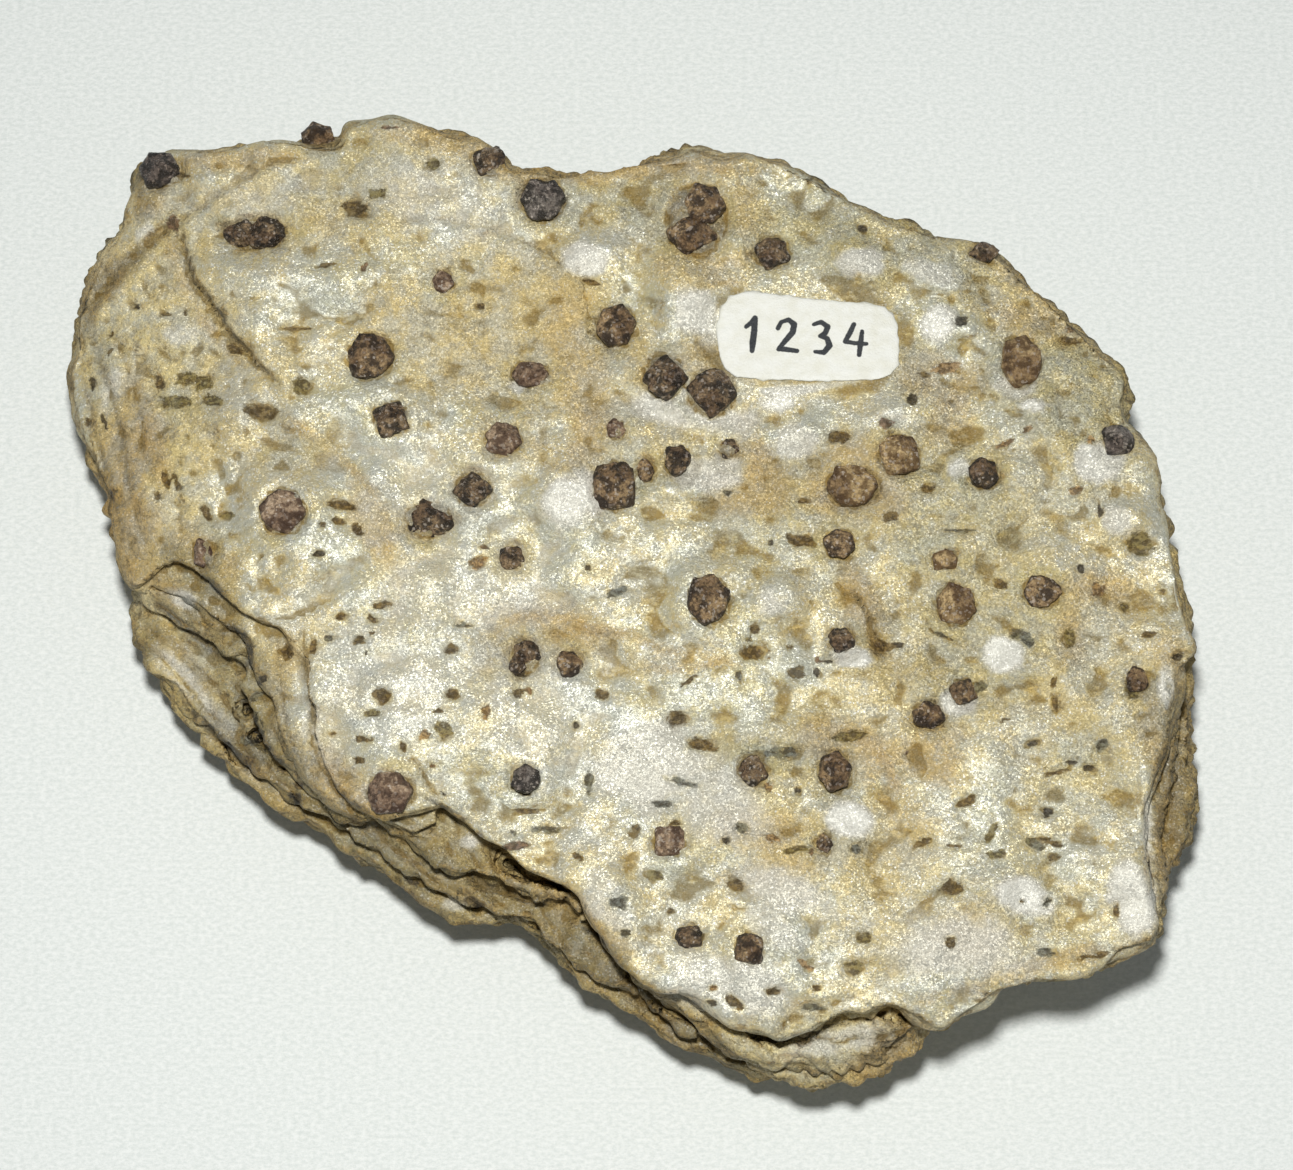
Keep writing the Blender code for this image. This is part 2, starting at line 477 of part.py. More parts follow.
class Surface:
    """Finds the point of the stone that is seen at a plan place."""

    def __init__(self, stone):
        self.tree = BVHTree.FromPolygons(
            [vert.co / MM for vert in stone.data.vertices], [face.vertices for face in stone.data.polygons]
        )

    def at(self, x, y):
        direction = (Vector((x, y, TOP)) - EYE).normalized()
        point, normal, _, _ = self.tree.ray_cast(EYE, direction)
        if point is None:
            point, normal, _, _ = self.tree.find_nearest(settle(x, y, TOP))
        return point, normal


def crystal_points(form):
    """Corners of a rhombic dodecahedron of unit half width, down its square or its six-sided view, with a blunt root."""
    corners = [Vector((a, b, c)) * 0.5 for a in (-1, 1) for b in (-1, 1) for c in (-1, 1)]
    for axis in range(3):
        for side in (-1, 1):
            tip = Vector((0, 0, 0))
            tip[axis] = side
            corners.append(tip)
    if form == "six":
        turn, size = Vector((1, 1, 1)).rotation_difference(Vector((0, 0, 1))).to_matrix(), 1.12
    else:
        turn, size = Matrix.Rotation(math.radians(45), 3, "Z"), 1.2
    seen = [turn @ corner * size for corner in corners]
    return [corner for corner in seen if corner.z > -0.4] + [Vector((0, 0, -0.9))]


def hull(points):
    bm = bmesh.new()
    for point in points:
        bm.verts.new(point)
    made = bmesh.ops.convex_hull(bm, input=bm.verts)
    loose = [item for item in made["geom_interior"] if isinstance(item, bmesh.types.BMVert)]
    bmesh.ops.delete(bm, geom=loose, context="VERTS")
    bmesh.ops.triangulate(bm, faces=bm.faces)
    return bm


def crystal_frame(surface, crystal, dice):
    """Corners of one crystal where it sits in the stone, and its middle."""
    x, y, width, depth, form, turn, rise, _ = crystal
    point, normal = surface.at(x, y)
    half = Vector((width / 2, depth / 2, (width + depth) / 4))
    up = normal.lerp(Vector((0, 0, 1)), 0.5).normalized()
    lean = Vector((0, 0, 1)).rotation_difference(up).to_matrix()
    spin = Matrix.Rotation(math.radians(turn), 3, "Z")
    middle = point + up * half.z * (2 * rise - 1.0) * 0.9
    corners = []
    for corner in crystal_points(form):
        uneven = Vector([dice.uniform(-0.07, 0.07) for _ in range(3)])
        shaped = spin @ corner + uneven
        corners.append(lean @ Vector([shaped[i] * half[i] for i in range(3)]))
    return corners, middle, up


def make_crystals(surface, collection, cutters):
    """Every crystal as a node, with the pocket that it sits in. Twins that overlap are one solid."""
    dice = random.Random(7)
    for number, group in enumerate(CRYSTALS, start=1):
        name = f"garnet_{number:02d}"
        members = []
        for part, crystal in enumerate(group):
            corners, middle, up = crystal_frame(surface, crystal, dice)
            member = object_from(hull([corner + middle for corner in corners]), name, collection)
            member.data.materials.append(material(crystal[7]))
            members.append(member)
            reach = max(corner.length for corner in corners)
            wider = [corner * (1 + GAP * 1.45 / reach) + corner.normalized() * GAP * 0.35 + middle for corner in corners]
            opened = [corner + up * 4.0 for corner in wider]
            object_from(hull(wider + opened), f"pocket_{number:02d}_{part}", cutters["pockets"], cutter=True)
        if len(members) == 2:
            twin = members[0].modifiers.new("grown_together", "BOOLEAN")
            twin.operation = "UNION"
            twin.object = members[1]
            joined = baked(members[0])
            bpy.data.objects.remove(members[1])
            joined.name = name


def make_grains(surface, cutters):
    """The smallest crystals, as knobs to fuse to the stone."""
    dice = random.Random(11)
    for number, (x, y, size) in enumerate(GRAINS):
        crystal = (x, y, size, size * 0.9, "four", dice.uniform(0, 90), 0.3, "umber")
        corners, middle, _ = crystal_frame(surface, crystal, dice)
        object_from(hull([corner + middle for corner in corners]), f"grain_{number}", cutters["grains"], cutter=True)


def make_pits(surface, cutters):
    """A lens-shaped cutter for each pit, half above the surface so that the pit is open."""
    dice = random.Random(3)
    for number, (x, y, length, width, turn, depth) in enumerate(PITS):
        point, normal = surface.at(x, y)
        bm = bmesh.new()
        bmesh.ops.create_icosphere(bm, subdivisions=1, radius=1.0)
        for vert in bm.verts:
            vert.co *= dice.uniform(0.85, 1.12)
        up = normal.lerp(Vector((0, 0, 1)), 0.3).normalized()
        lean = Vector((0, 0, 1)).rotation_difference(up).to_matrix().to_4x4()
        shape = Matrix.Diagonal((length / 2, width / 2, depth, 1.0))
        spin = Matrix.Rotation(math.radians(turn), 4, "Z")
        matrix = Matrix.Translation(point + up * 0.1) @ lean @ spin @ shape
        bmesh.ops.transform(bm, matrix=matrix, verts=bm.verts)
        object_from(bm, f"pit_{number:02d}", cutters["pits"], cutter=True)


def make_furrows(surface, cutters):
    """A bent rod half sunk in the surface for each furrow."""
    for number, (width, line) in enumerate(FURROWS):
        curve = bpy.data.curves.new(f"furrow_{number}", "CURVE")
        curve.dimensions = "3D"
        curve.bevel_depth = width / 2
        curve.bevel_resolution = 0
        curve.use_fill_caps = True
        spline = curve.splines.new("POLY")
        spline.points.add(len(line) - 1)
        for point, (x, y) in zip(spline.points, line):
            place, normal = surface.at(x, y)
            point.co = (*(place - normal * width * 0.15), 1.0)
        obj = bpy.data.objects.new(f"furrow_{number}", curve)
        cutters["furrows"].objects.link(obj)
        obj = baked(obj)
        bm = bmesh.new()
        bm.from_mesh(obj.data)
        bpy.data.objects.remove(obj)
        bmesh.ops.remove_doubles(bm, verts=bm.verts, dist=1e-4)
        object_from(bm, f"furrow_{number}", cutters["furrows"], cutter=True)


def ribbon(line):
    """Outline of a band along a line, on its left side, with a width at each point."""
    outer = []
    for index, (x, y, width) in enumerate(line):
        before = line[max(0, index - 1)]
        after = line[min(len(line) - 1, index + 1)]
        along = Vector((after[0] - before[0], after[1] - before[1])).normalized()
        outer.append((x - along.y * width, y + along.x * width))
    return outer + [(x, y) for x, y, _ in reversed(line)]


def make_clefts(cutters):
    """An upright blade for each cleft, from its floor to well above the stone."""
    for number, (floor, line) in enumerate(CLEFTS):
        name = f"cleft_{number}"
        blade = flat_outline(ribbon(line), floor, TOP + 8.0, name, cutters["clefts"])
        bm = bmesh.new()
        bm.from_mesh(blade.data)
        bpy.data.objects.remove(blade)
        for vert in bm.verts:
            vert.co = settle(*vert.co)
        object_from(bm, name, cutters["clefts"], cutter=True)


def make_label(collection):
    """The patch of white paint, flat on its bed in the top face."""
    label = flat_outline(LABEL, TOP + GAP, TOP + GAP + LABEL_THICK, "label", collection)
    bm = bmesh.new()
    bm.from_mesh(label.data)
    bpy.data.objects.remove(label)
    for vert in bm.verts:
        vert.co = settle(*vert.co)
    label = object_from(bm, "label", collection)
    label.data.materials.append(material("paint"))


def cut_stone(stone, cutters):
    """Trims the foot flat and fuses the grains, then cuts pits, furrows, clefts and pockets."""
    for name, operation in (
        ("table", "DIFFERENCE"), ("grains", "UNION"), ("pits", "DIFFERENCE"), ("furrows", "DIFFERENCE"),
        ("clefts", "DIFFERENCE"), ("pockets", "DIFFERENCE"),
    ):
        cut = stone.modifiers.new(name, "BOOLEAN")
        cut.operation = operation
        cut.operand_type = "COLLECTION"
        cut.collection = cutters[name]


def make_table(cutters):
    """A block that takes the lowest half millimetre off the foot, for the flat spot."""
    bm = bmesh.new()
    bmesh.ops.create_cube(bm, size=1.0)
    bmesh.ops.scale(bm, vec=(200, 200, 20), verts=bm.verts)
    bmesh.ops.translate(bm, vec=(0, 0, FOOT_TRIM - 10), verts=bm.verts)
    object_from(bm, "table", cutters["table"], cutter=True)


clear_scene()
parts = new_collection(NAME)
cutters = {
    name: new_collection(name) for name in ("grains", "pits", "furrows", "clefts", "pockets", "table")
}
schist = stone_blank(parts)
schist.data.materials.append(material("schist"))
surface = Surface(schist)
make_crystals(surface, parts, cutters)
make_grains(surface, cutters)
make_pits(surface, cutters)
make_furrows(surface, cutters)
make_clefts(cutters)
make_table(cutters)
make_label(parts)
cut_stone(schist, cutters)
for obj in parts.objects:
    obj.location = (-MIDDLE.x * MM, -MIDDLE.y * MM, -FOOT_TRIM * MM)
for collection in cutters.values():
    for obj in collection.objects:
        obj.location = (-MIDDLE.x * MM, -MIDDLE.y * MM, -FOOT_TRIM * MM)
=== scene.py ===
"""Garnet schist: a hand specimen of silvery mica schist with garnet crystals and a white painted label.

Plan places in the tables are millimetres at the level of the stone's top face, as they appear from a viewing
point high in front of it. settled() carries each along its line of sight to its real height.
"""

import json
import math

import bmesh
import bpy
import numpy as np
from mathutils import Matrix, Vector, noise

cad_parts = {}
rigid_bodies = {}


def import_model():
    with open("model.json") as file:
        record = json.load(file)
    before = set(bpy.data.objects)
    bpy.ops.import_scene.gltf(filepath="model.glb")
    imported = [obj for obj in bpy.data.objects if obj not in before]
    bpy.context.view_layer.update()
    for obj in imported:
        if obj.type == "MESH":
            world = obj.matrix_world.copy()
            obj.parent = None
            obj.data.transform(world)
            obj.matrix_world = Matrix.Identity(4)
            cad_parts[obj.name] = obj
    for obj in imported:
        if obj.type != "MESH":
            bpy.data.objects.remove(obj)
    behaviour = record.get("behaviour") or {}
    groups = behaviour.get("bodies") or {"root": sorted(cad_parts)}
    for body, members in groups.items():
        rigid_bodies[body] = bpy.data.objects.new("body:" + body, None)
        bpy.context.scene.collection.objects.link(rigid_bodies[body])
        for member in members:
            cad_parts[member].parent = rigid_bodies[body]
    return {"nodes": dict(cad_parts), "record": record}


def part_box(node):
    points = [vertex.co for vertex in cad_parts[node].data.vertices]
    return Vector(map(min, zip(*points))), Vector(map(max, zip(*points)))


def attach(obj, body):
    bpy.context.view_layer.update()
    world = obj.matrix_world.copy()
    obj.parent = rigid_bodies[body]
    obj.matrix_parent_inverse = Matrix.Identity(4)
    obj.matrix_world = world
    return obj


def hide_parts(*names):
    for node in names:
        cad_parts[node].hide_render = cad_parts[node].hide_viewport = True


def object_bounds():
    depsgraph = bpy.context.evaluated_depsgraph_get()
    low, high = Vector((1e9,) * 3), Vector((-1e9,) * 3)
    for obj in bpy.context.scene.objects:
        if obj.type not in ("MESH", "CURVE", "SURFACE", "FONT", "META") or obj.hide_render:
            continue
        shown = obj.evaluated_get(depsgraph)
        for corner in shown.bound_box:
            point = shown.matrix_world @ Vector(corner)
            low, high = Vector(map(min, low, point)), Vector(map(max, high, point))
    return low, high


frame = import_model()
cad_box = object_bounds()

# The stone: a slab of mica schist, broken out along its leaves and weathered ochre on the left and in front.
# Its leaves are cut to their outlines, grown together, bowed down at the edges, and then wrinkled and pitted.
# It is one piece, and the garnets and the paint sit on it.
MM = 0.001

# Levels in mm above the resting spot: the top face, the bottom of the rough side, the top of the worn foot
TOP = 34.0
SIDE_FROM = 13.0
FOOT_FROM = 12.0

# The viewing point, and the plan place and level of the object's origin
EYE_DISTANCE, EYE_ELEVATION = 480.0, 76.0
EYE = np.array((
    0.0,
    -EYE_DISTANCE * math.cos(math.radians(EYE_ELEVATION)),
    TOP + EYE_DISTANCE * math.sin(math.radians(EYE_ELEVATION)),
))
MIDDLE = np.array((-2.724, 2.309, 0.5))

# Grid on which the leaves grow together, in mm, and the triangles kept of it
STONE_GRID = 0.44
STONE_FACES = 196_000

# Edges of the leaves as plan places, clockwise from the notch on the left
LEFT_EDGE = [
    (-61.8, 0.2), (-63.6, 5.5), (-64.7, 11.2), (-67, 15.3), (-68.7, 19.4), (-70.3, 26.3), (-70.1, 32),
    (-69.3, 35.7), (-66.4, 42.1), (-63.8, 44.9), (-62.9, 49.8), (-62.4, 53),
]
BACK_EDGE = [
    (-59, 55), (-54.4, 54.6), (-50.2, 55.4), (-45, 56.4), (-38.4, 56.3), (-36.8, 58.6), (-31.5, 59),
    (-27, 58.1), (-21.3, 56.8), (-18.4, 55), (-17.5, 52.7), (-12.5, 52.5), (-4.8, 52), (0.4, 53.8),
    (6.5, 54.7), (9.5, 53.7), (12.6, 54.5), (16.8, 53.8), (20.6, 51.8), (24.1, 49.3), (29.3, 46.2),
    (37.3, 43.6), (41, 43), (44.6, 40.5), (48.8, 36.4), (54.6, 30.7),
]
RIGHT_EDGE = [
    (58.4, 25.5), (57.8, 20.6), (60.8, 15.7), (61.9, 10), (63, 4.5), (64.1, 0), (64.6, -4.5), (65.3, -8),
]
RIGHT_CREST = [
    (63.3, -9.6), (63.2, -14), (61.6, -19.7), (60, -23.5), (58.7, -28.2), (58.5, -33.6), (59.1, -37.6),
    (60.2, -41),
]
RIGHT_STEP = [(64.4, -11), (64, -16), (62.8, -21), (61.4, -27), (60.9, -32), (60.5, -38), (60.3, -42)]
RIGHT_WALL = [
    (65.4, -12), (65.2, -16), (64.8, -21), (64.3, -27), (63.4, -31.6), (61.7, -34.4), (61.2, -38),
    (60.2, -42),
]
FRONT_RIGHT = [
    (59.4, -43.3), (55.8, -44.6), (50.8, -46.9), (45.7, -47.9), (41.3, -49), (39.8, -50.7), (36.3, -52.4),
]
TIP_TOP = [
    (34.7, -53.4), (31.9, -53), (28.7, -51.1), (25.5, -52.1), (23.6, -51.9), (19.4, -53.7), (15.3, -54.8),
    (12, -53.6), (8.2, -51.5), (4, -48.8), (1.5, -49.3),
]
LONG_CRACK = [
    (-0.1, -47.9), (-3, -44.7), (-5.8, -41.6), (-7.6, -37.8), (-9.6, -35.9), (-13.8, -35.1), (-16.2, -33.3),
    (-19.1, -30.8), (-21.3, -28.7), (-24.6, -27.2),
]
INNER_LEDGE = [
    (-31, -28.7), (-35.1, -27.1), (-39, -22.5), (-40.1, -18.4), (-40.4, -15.3), (-41.4, -9.6), (-44, -5.5),
]
NOTCH = [(-50.2, -2), (-52.8, 0.6), (-57, 3)]
UNDER_LEDGE = [
    (-24.8, -29), (-28, -30.4), (-31.5, -29.9), (-35.5, -28.2), (-40.4, -23.6), (-42.8, -20), (-44.4, -15),
    (-46.6, -10), (-47.5, -6.6), (-51.4, -5), (-55.8, -1), (-59.5, 1),
]
TIP_MIDDLE = [
    (31.6, -53.6), (27.5, -56.2), (22.8, -57.6), (18.6, -57.3), (15, -58.1), (11.5, -56.2), (8.9, -55.3),
    (5.4, -52.4), (1.3, -49.8), (-3, -45.5), (-6.5, -42),
]
SHELF = [(-9.2, -38.2), (-12.7, -39), (-16.7, -37.2), (-20.1, -35.9), (-23, -35), (-28, -31.7)]
LEFT_CRACK = [
    (-34, -28.8), (-38, -25.6), (-42.1, -22.3), (-44.5, -21), (-46.3, -17.9), (-48.7, -12.4), (-47.6, -9.6),
    (-51.1, -9), (-55.9, -4.9), (-59.4, -1.7),
]
TIP_LOW = [
    (30.4, -56.4), (27.8, -58.8), (23.9, -59.5), (20.1, -60.5), (15.5, -59.6), (13, -57.8), (9.5, -56.2),
]
OUTER_LEDGE = [
    (4, -53.5), (-3, -48), (-10.5, -44), (-13, -41.5), (-20, -39), (-26, -36.2), (-31, -33), (-38, -28.5),
    (-44.5, -24.2), (-48.8, -20.4), (-51.3, -18.1), (-54.6, -15.6), (-56.6, -11.6), (-59.2, -9.6),
    (-61.2, -4.6),
]
FRONT_RIM = [
    (12.7, -59.5), (7.9, -57.2), (3, -55.1), (-0.7, -52.4), (-3.7, -49.8), (-10.1, -45.7), (-12.3, -43.3),
    (-14.9, -41.3), (-20, -41), (-26.1, -37.9), (-29.7, -35.7), (-32.6, -33.1), (-35.2, -32.2),
    (-39.1, -29.5), (-43.4, -26.8), (-47.4, -23.8), (-51.6, -19.9), (-53.4, -17.6), (-55.3, -15.2),
    (-56.6, -12), (-58.6, -8.5), (-60.4, -3.5),
]
UNDERCUT = [(54, -38), (45, -43), (37, -47), (33, -50.5)]
BACK_BELOW = [
    (-58, 52), (-45, 53.5), (-31, 55), (-17, 50), (0, 49.5), (14, 50), (29, 43), (44, 37.5), (55, 28),
]
RIGHT_BELOW = [(58, 18), (61.5, 5), (64, -6)]


def shrunk(outline, factor, shift=(0.0, 0.0)):
    """The outline drawn in towards the middle, and then shifted."""
    return [(x * factor + shift[0], y * factor + shift[1]) for x, y in outline]


THIRD_LEAF = (
    shrunk(LEFT_EDGE, 0.975) + BACK_BELOW + RIGHT_BELOW + RIGHT_WALL
    + shrunk(UNDERCUT, 1.04) + TIP_LOW + OUTER_LEDGE
)
FOURTH_LEAF = (
    shrunk(LEFT_EDGE, 0.96) + shrunk(BACK_BELOW, 0.96) + RIGHT_BELOW
    + shrunk(RIGHT_WALL, 0.98) + UNDERCUT + FRONT_RIM
)

# Every leaf from the foot up: outline, and its bottom and top level
LEAVES = [
    (shrunk(FOURTH_LEAF, 0.52, (3, 1)), 0.0, 4.2),
    (shrunk(FOURTH_LEAF, 0.75, (-3, 3)), 3.2, 8.0),
    (shrunk(FOURTH_LEAF, 0.9, (2, -2)), 7.0, 12.5),
    (FOURTH_LEAF, 11.5, 18.5),
    (THIRD_LEAF, 16.5, 23.0),
    (
        shrunk(LEFT_EDGE, 0.99) + shrunk(BACK_EDGE, 0.985) + RIGHT_EDGE + RIGHT_STEP
        + shrunk(FRONT_RIGHT, 0.97) + TIP_MIDDLE + SHELF + LEFT_CRACK,
        21.0, 27.5,
    ),
    (
        LEFT_EDGE + BACK_EDGE + RIGHT_EDGE + RIGHT_CREST + FRONT_RIGHT
        + TIP_TOP + LONG_CRACK + UNDER_LEDGE,
        25.5, 31.0,
    ),
    (
        LEFT_EDGE + BACK_EDGE + RIGHT_EDGE + RIGHT_CREST + FRONT_RIGHT
        + TIP_TOP + LONG_CRACK + INNER_LEDGE + NOTCH,
        28.5, 34.0,
    ),
]

# Open clefts along the leaves: level of the floor, then plan place and width along the line
CLEFTS = [
    (20.5, [
        (14, -58.4, 0.5), (12.2, -57, 0.9), (9.5, -55.7, 1.2), (5.4, -52.4, 1.2), (1.3, -49.5, 1.4),
        (-0.1, -48, 1.6), (-3, -44.7, 1.6), (-5.8, -41.6, 1.1), (-7.6, -37.8, 0.9), (-9.6, -36.1, 1.2),
        (-13.8, -35.2, 1.2), (-16.2, -33.4, 1.0), (-19.1, -30.8, 0.8), (-21.6, -28.6, 0.6),
        (-25, -26.6, 0.4),
    ]),
    (23.0, [
        (32.6, -53, 0.6), (30.4, -52, 1.0), (28.7, -51.1, 1.0), (25.5, -52.1, 1.0), (23.6, -51.9, 1.2),
        (19.4, -53.7, 1.3), (15.3, -54.8, 1.2), (12, -53.5, 1.0), (8.2, -51.3, 0.8), (4.6, -49, 0.6),
    ]),
    (17.5, [
        (-38.5, -25.6, 0.4), (-42.1, -22.5, 0.8), (-44.5, -21.2, 1.2), (-46.3, -18.1, 0.9),
        (-48.3, -13.6, 0.8), (-48.6, -10.6, 0.5),
    ]),
    (13.5, [(-45.2, -23.6, 0.6), (-48.6, -20.9, 1.2), (-51.3, -18.5, 1.0), (-54.6, -15.9, 0.6)]),
    (17.0, [(31.9, -54, 0.6), (29.2, -54.8, 1.0), (26.8, -55.8, 0.6)]),
    (22.5, [
        (-22.4, -35, 0.6), (-18.9, -36.7, 0.8), (-15, -38.1, 0.8), (-12.7, -38.9, 0.8), (-9.2, -38, 0.6),
    ]),
    (23.0, [
        (-37.4, -25.2, 0.5), (-35, -28, 0.8), (-31.4, -30.2, 0.8), (-26.2, -31.6, 0.7), (-23.4, -33.2, 0.5),
    ]),
]

# Swells and hollows of the top face: plan place, radius, height
SWELLS = [
    (-52, 50, 9, 1.2), (-49, 44.5, 5, -2.2), (-26, 47, 10, 1.4), (-16, 33, 15, -1.2), (7, 35, 5, 1.6),
    (-8.5, 10, 5, 1.5), (11, 12.8, 3.2, -1.6), (26, 40, 6, 1.2), (38.5, 34, 4, 1.3), (-44, 9.3, 6, 1.0),
    (-13, -7, 7, -1.5), (7.4, -1.9, 6, 1.0), (-38, 0, 9, 0.9), (26.5, -3.5, 3, 1.3), (24, -18.5, 5, -1.0),
    (12, -44, 8, 0.9), (45, -38, 5, -1.3), (42, -9, 4, -1.0), (50, 22, 9, 0.8), (-30, -24, 7, 0.8),
    (5, -21, 7, -0.9), (30, 14, 8, 0.7), (-62, 25, 6, -1.0), (-29, -12, 9, 0.7), (50, -24, 6, -0.8),
]

# Steps where a leaf ends in the top face: drop on the left of the line, how far the low side runs, the line
STEPS = [
    (2.2, 11, [
        (-44, 24), (-46.4, 26.8), (-49, 29.8), (-51.6, 32.9), (-53.4, 36.2), (-55.1, 38), (-56.4, 42),
        (-58, 47),
    ]),
    (1.1, 12, [(-34, 45), (-27, 46.5), (-19, 45), (-12.5, 42), (-8, 38), (-7.2, 33), (-8, 28)]),
    (1.2, 6, [(16, -40.2), (12.9, -39.7), (11.1, -39.2), (9.6, -38)]),
    (1.6, 6, [(30, -10), (28, -7.4), (27, -4), (25.2, -1), (21, 1.5)]),
    (1.0, 5, [(-46, -5), (-41.4, -4), (-38, -2), (-36, 3)]),
    (1.6, 7, [(-57.5, 45.5), (-55.6, 47.4), (-53, 49.4), (-50, 51.3), (-46, 53.6), (-41, 54.4)]),
]

# The label's bed is worn flat: middle and half sizes
BED_MIDDLE = (19.7, 31.3)
BED_HALF = (12.8, 7.4)


def linked(name, data):
    """A new object in the scene, at the origin."""
    obj = bpy.data.objects.new(name, data)
    bpy.context.scene.collection.objects.link(obj)
    return obj


def leaf_solid(name, outline, low, high):
    """One flat leaf, or one cleft's blade: its outline pulled up from its bottom to its top."""
    bm = bmesh.new()
    face = bm.faces.new([bm.verts.new((x, y, low)) for x, y in outline])
    lifted = bmesh.ops.extrude_face_region(bm, geom=[face])
    raised = [item for item in lifted["geom"] if isinstance(item, bmesh.types.BMVert)]
    bmesh.ops.translate(bm, vec=(0.0, 0.0, high - low), verts=raised)
    bmesh.ops.recalc_face_normals(bm, faces=bm.faces)
    mesh = bpy.data.meshes.new(name)
    bm.to_mesh(mesh)
    bm.free()
    return linked(name, mesh)


def ribbon(line):
    """Outline of a band that lies on the left of a line, with a width at each point."""
    outer = []
    for index, (x, y, width) in enumerate(line):
        before = line[max(0, index - 1)]
        after = line[min(len(line) - 1, index + 1)]
        along = Vector((after[0] - before[0], after[1] - before[1])).normalized()
        outer.append((x - along.y * width, y + along.x * width))
    return outer + [(x, y) for x, y, _ in reversed(line)]


def finished_mesh(obj):
    """The mesh that an object's modifiers make. The object is removed."""
    graph = bpy.context.evaluated_depsgraph_get()
    mesh = bpy.data.meshes.new_from_object(obj.evaluated_get(graph))
    bpy.data.objects.remove(obj)
    return mesh


def grown_leaves():
    """All leaves with their clefts cut, joined into one closed surface on an even grid, in mm."""
    blades = bpy.data.collections.new("cleft_blades")
    bpy.context.scene.collection.children.link(blades)
    for number, (floor, line) in enumerate(CLEFTS):
        blade = leaf_solid(f"cleft_blade_{number}", ribbon(line), floor, TOP + 8.0)
        bpy.context.scene.collection.objects.unlink(blade)
        blades.objects.link(blade)
    deepest = min(floor for floor, _ in CLEFTS)
    bm = bmesh.new()
    for number, (outline, low, high) in enumerate(LEAVES):
        leaf = leaf_solid(f"leaf_{number}", outline, low, high)
        if high > deepest:
            cut = leaf.modifiers.new("clefts", "BOOLEAN")
            cut.operation = "DIFFERENCE"
            cut.operand_type = "COLLECTION"
            cut.collection = blades
        mesh = finished_mesh(leaf)
        bm.from_mesh(mesh)
        bpy.data.meshes.remove(mesh)
    for blade in list(blades.objects):
        bpy.data.objects.remove(blade)
    bpy.data.collections.remove(blades)
    bmesh.ops.scale(bm, vec=(MM, MM, MM), verts=bm.verts)
    mesh = bpy.data.meshes.new("leaves")
    bm.to_mesh(mesh)
    bm.free()
    stone = linked("leaves", mesh)
    joined = stone.modifiers.new("grown_together", "REMESH")
    joined.mode = "VOXEL"
    joined.voxel_size = STONE_GRID * MM
    return finished_mesh(stone)


def points_of(mesh):
    points = np.empty(len(mesh.vertices) * 3)
    mesh.vertices.foreach_get("co", points)
    return points.reshape(-1, 3)


def normals_of(mesh):
    normals = np.empty(len(mesh.vertices) * 3)
    mesh.vertex_normals.foreach_get("vector", normals)
    return normals.reshape(-1, 3)


def edges_of(mesh):
    ends = np.empty(len(mesh.edges) * 2, np.int32)
    mesh.edges.foreach_get("vertices", ends)
    return ends.reshape(-1, 2)


def put_points(mesh, points):
    mesh.vertices.foreach_set("co", points.astype(np.float32).ravel())
    mesh.update()


def store(mesh, name, values):
    """Keeps a number at every point of the mesh, or a colour with its cover, for the finish to read."""
    kind, field = ("FLOAT", "value") if values.ndim == 1 else ("FLOAT_COLOR", "color")
    kept = mesh.attributes.new(name, kind, "POINT")
    kept.data.foreach_set(field, values.astype(np.float32).ravel())


def dressed(name, mesh, material):
    """The mesh as an object of the scene, in its finish and shaded smooth."""
    mesh.materials.clear()
    mesh.materials.append(material)
    for polygon in mesh.polygons:
        polygon.use_smooth = True
    return linked(name, mesh)


def evened(values, ends, passes, where=None):
    """Values moved half way to their neighbours' mean over the mesh, some passes long."""
    count = np.bincount(ends.ravel(), minlength=len(values)).clip(1)
    values = values.copy()
    for _ in range(passes):
        if values.ndim == 1:
            total = np.bincount(ends[:, 0], values[ends[:, 1]], len(values))
            total += np.bincount(ends[:, 1], values[ends[:, 0]], len(values))
            change = (total / count - values) * 0.5
        else:
            total = np.stack([
                np.bincount(ends[:, 0], column[ends[:, 1]], len(values))
                + np.bincount(ends[:, 1], column[ends[:, 0]], len(values))
                for column in values.T
            ], axis=1)
            change = (total / count[:, None] - values) * 0.5
        if where is not None:
            change = change * (where if values.ndim == 1 else where[:, None])
        values += change
    return values


def noise_at(x, y, z, size, offset=0.0):
    """Smooth noise between about -1 and 1 at each place, of that grain size or sizes along x, y and z."""
    sizes = np.broadcast_to(np.asarray(size, float), 3)
    places = np.stack([(x + offset) / sizes[0], y / sizes[1], z / sizes[2]], axis=1)
    return np.array([noise.noise(place) for place in places.tolist()])


def ridged(x, y, z, size, offset):
    """Noise folded at its middle, which gives sharp creases between rounded swells."""
    return np.abs(noise_at(x, y, z, size, offset)) - 0.2


def eased(share):
    """A share from 0 to 1 that starts and ends gently."""
    share = np.clip(share, 0.0, 1.0)
    return share * share * (3.0 - 2.0 * share)


def bow(x, y):
    """How far the leaves hang below the level of the top face at a plan place."""
    left = np.maximum(0.0, -38.0 - x)
    front_left = np.maximum(0.0, -0.72 * x - 0.69 * y - 34.0)
    tip = np.maximum(0.0, -42.0 - y)
    back_right = np.maximum(0.0, 0.7 * (x + y) - 38.0)
    return 0.013 * left**2 + 0.011 * front_left**2 + 0.012 * tip**2 + 0.006 * back_right**2


def settled(points):
    """Real places, in metres in the object's frame, of plan places and levels in mm."""
    x, y, level = points.T
    height = level * (1.0 - bow(x, y) / TOP)
    share = (EYE[2] - height) / (EYE[2] - TOP)
    seen = np.stack([x, y, np.full(len(x), TOP)], axis=1)
    return (EYE + (seen - EYE) * share[:, None] - MIDDLE) * MM


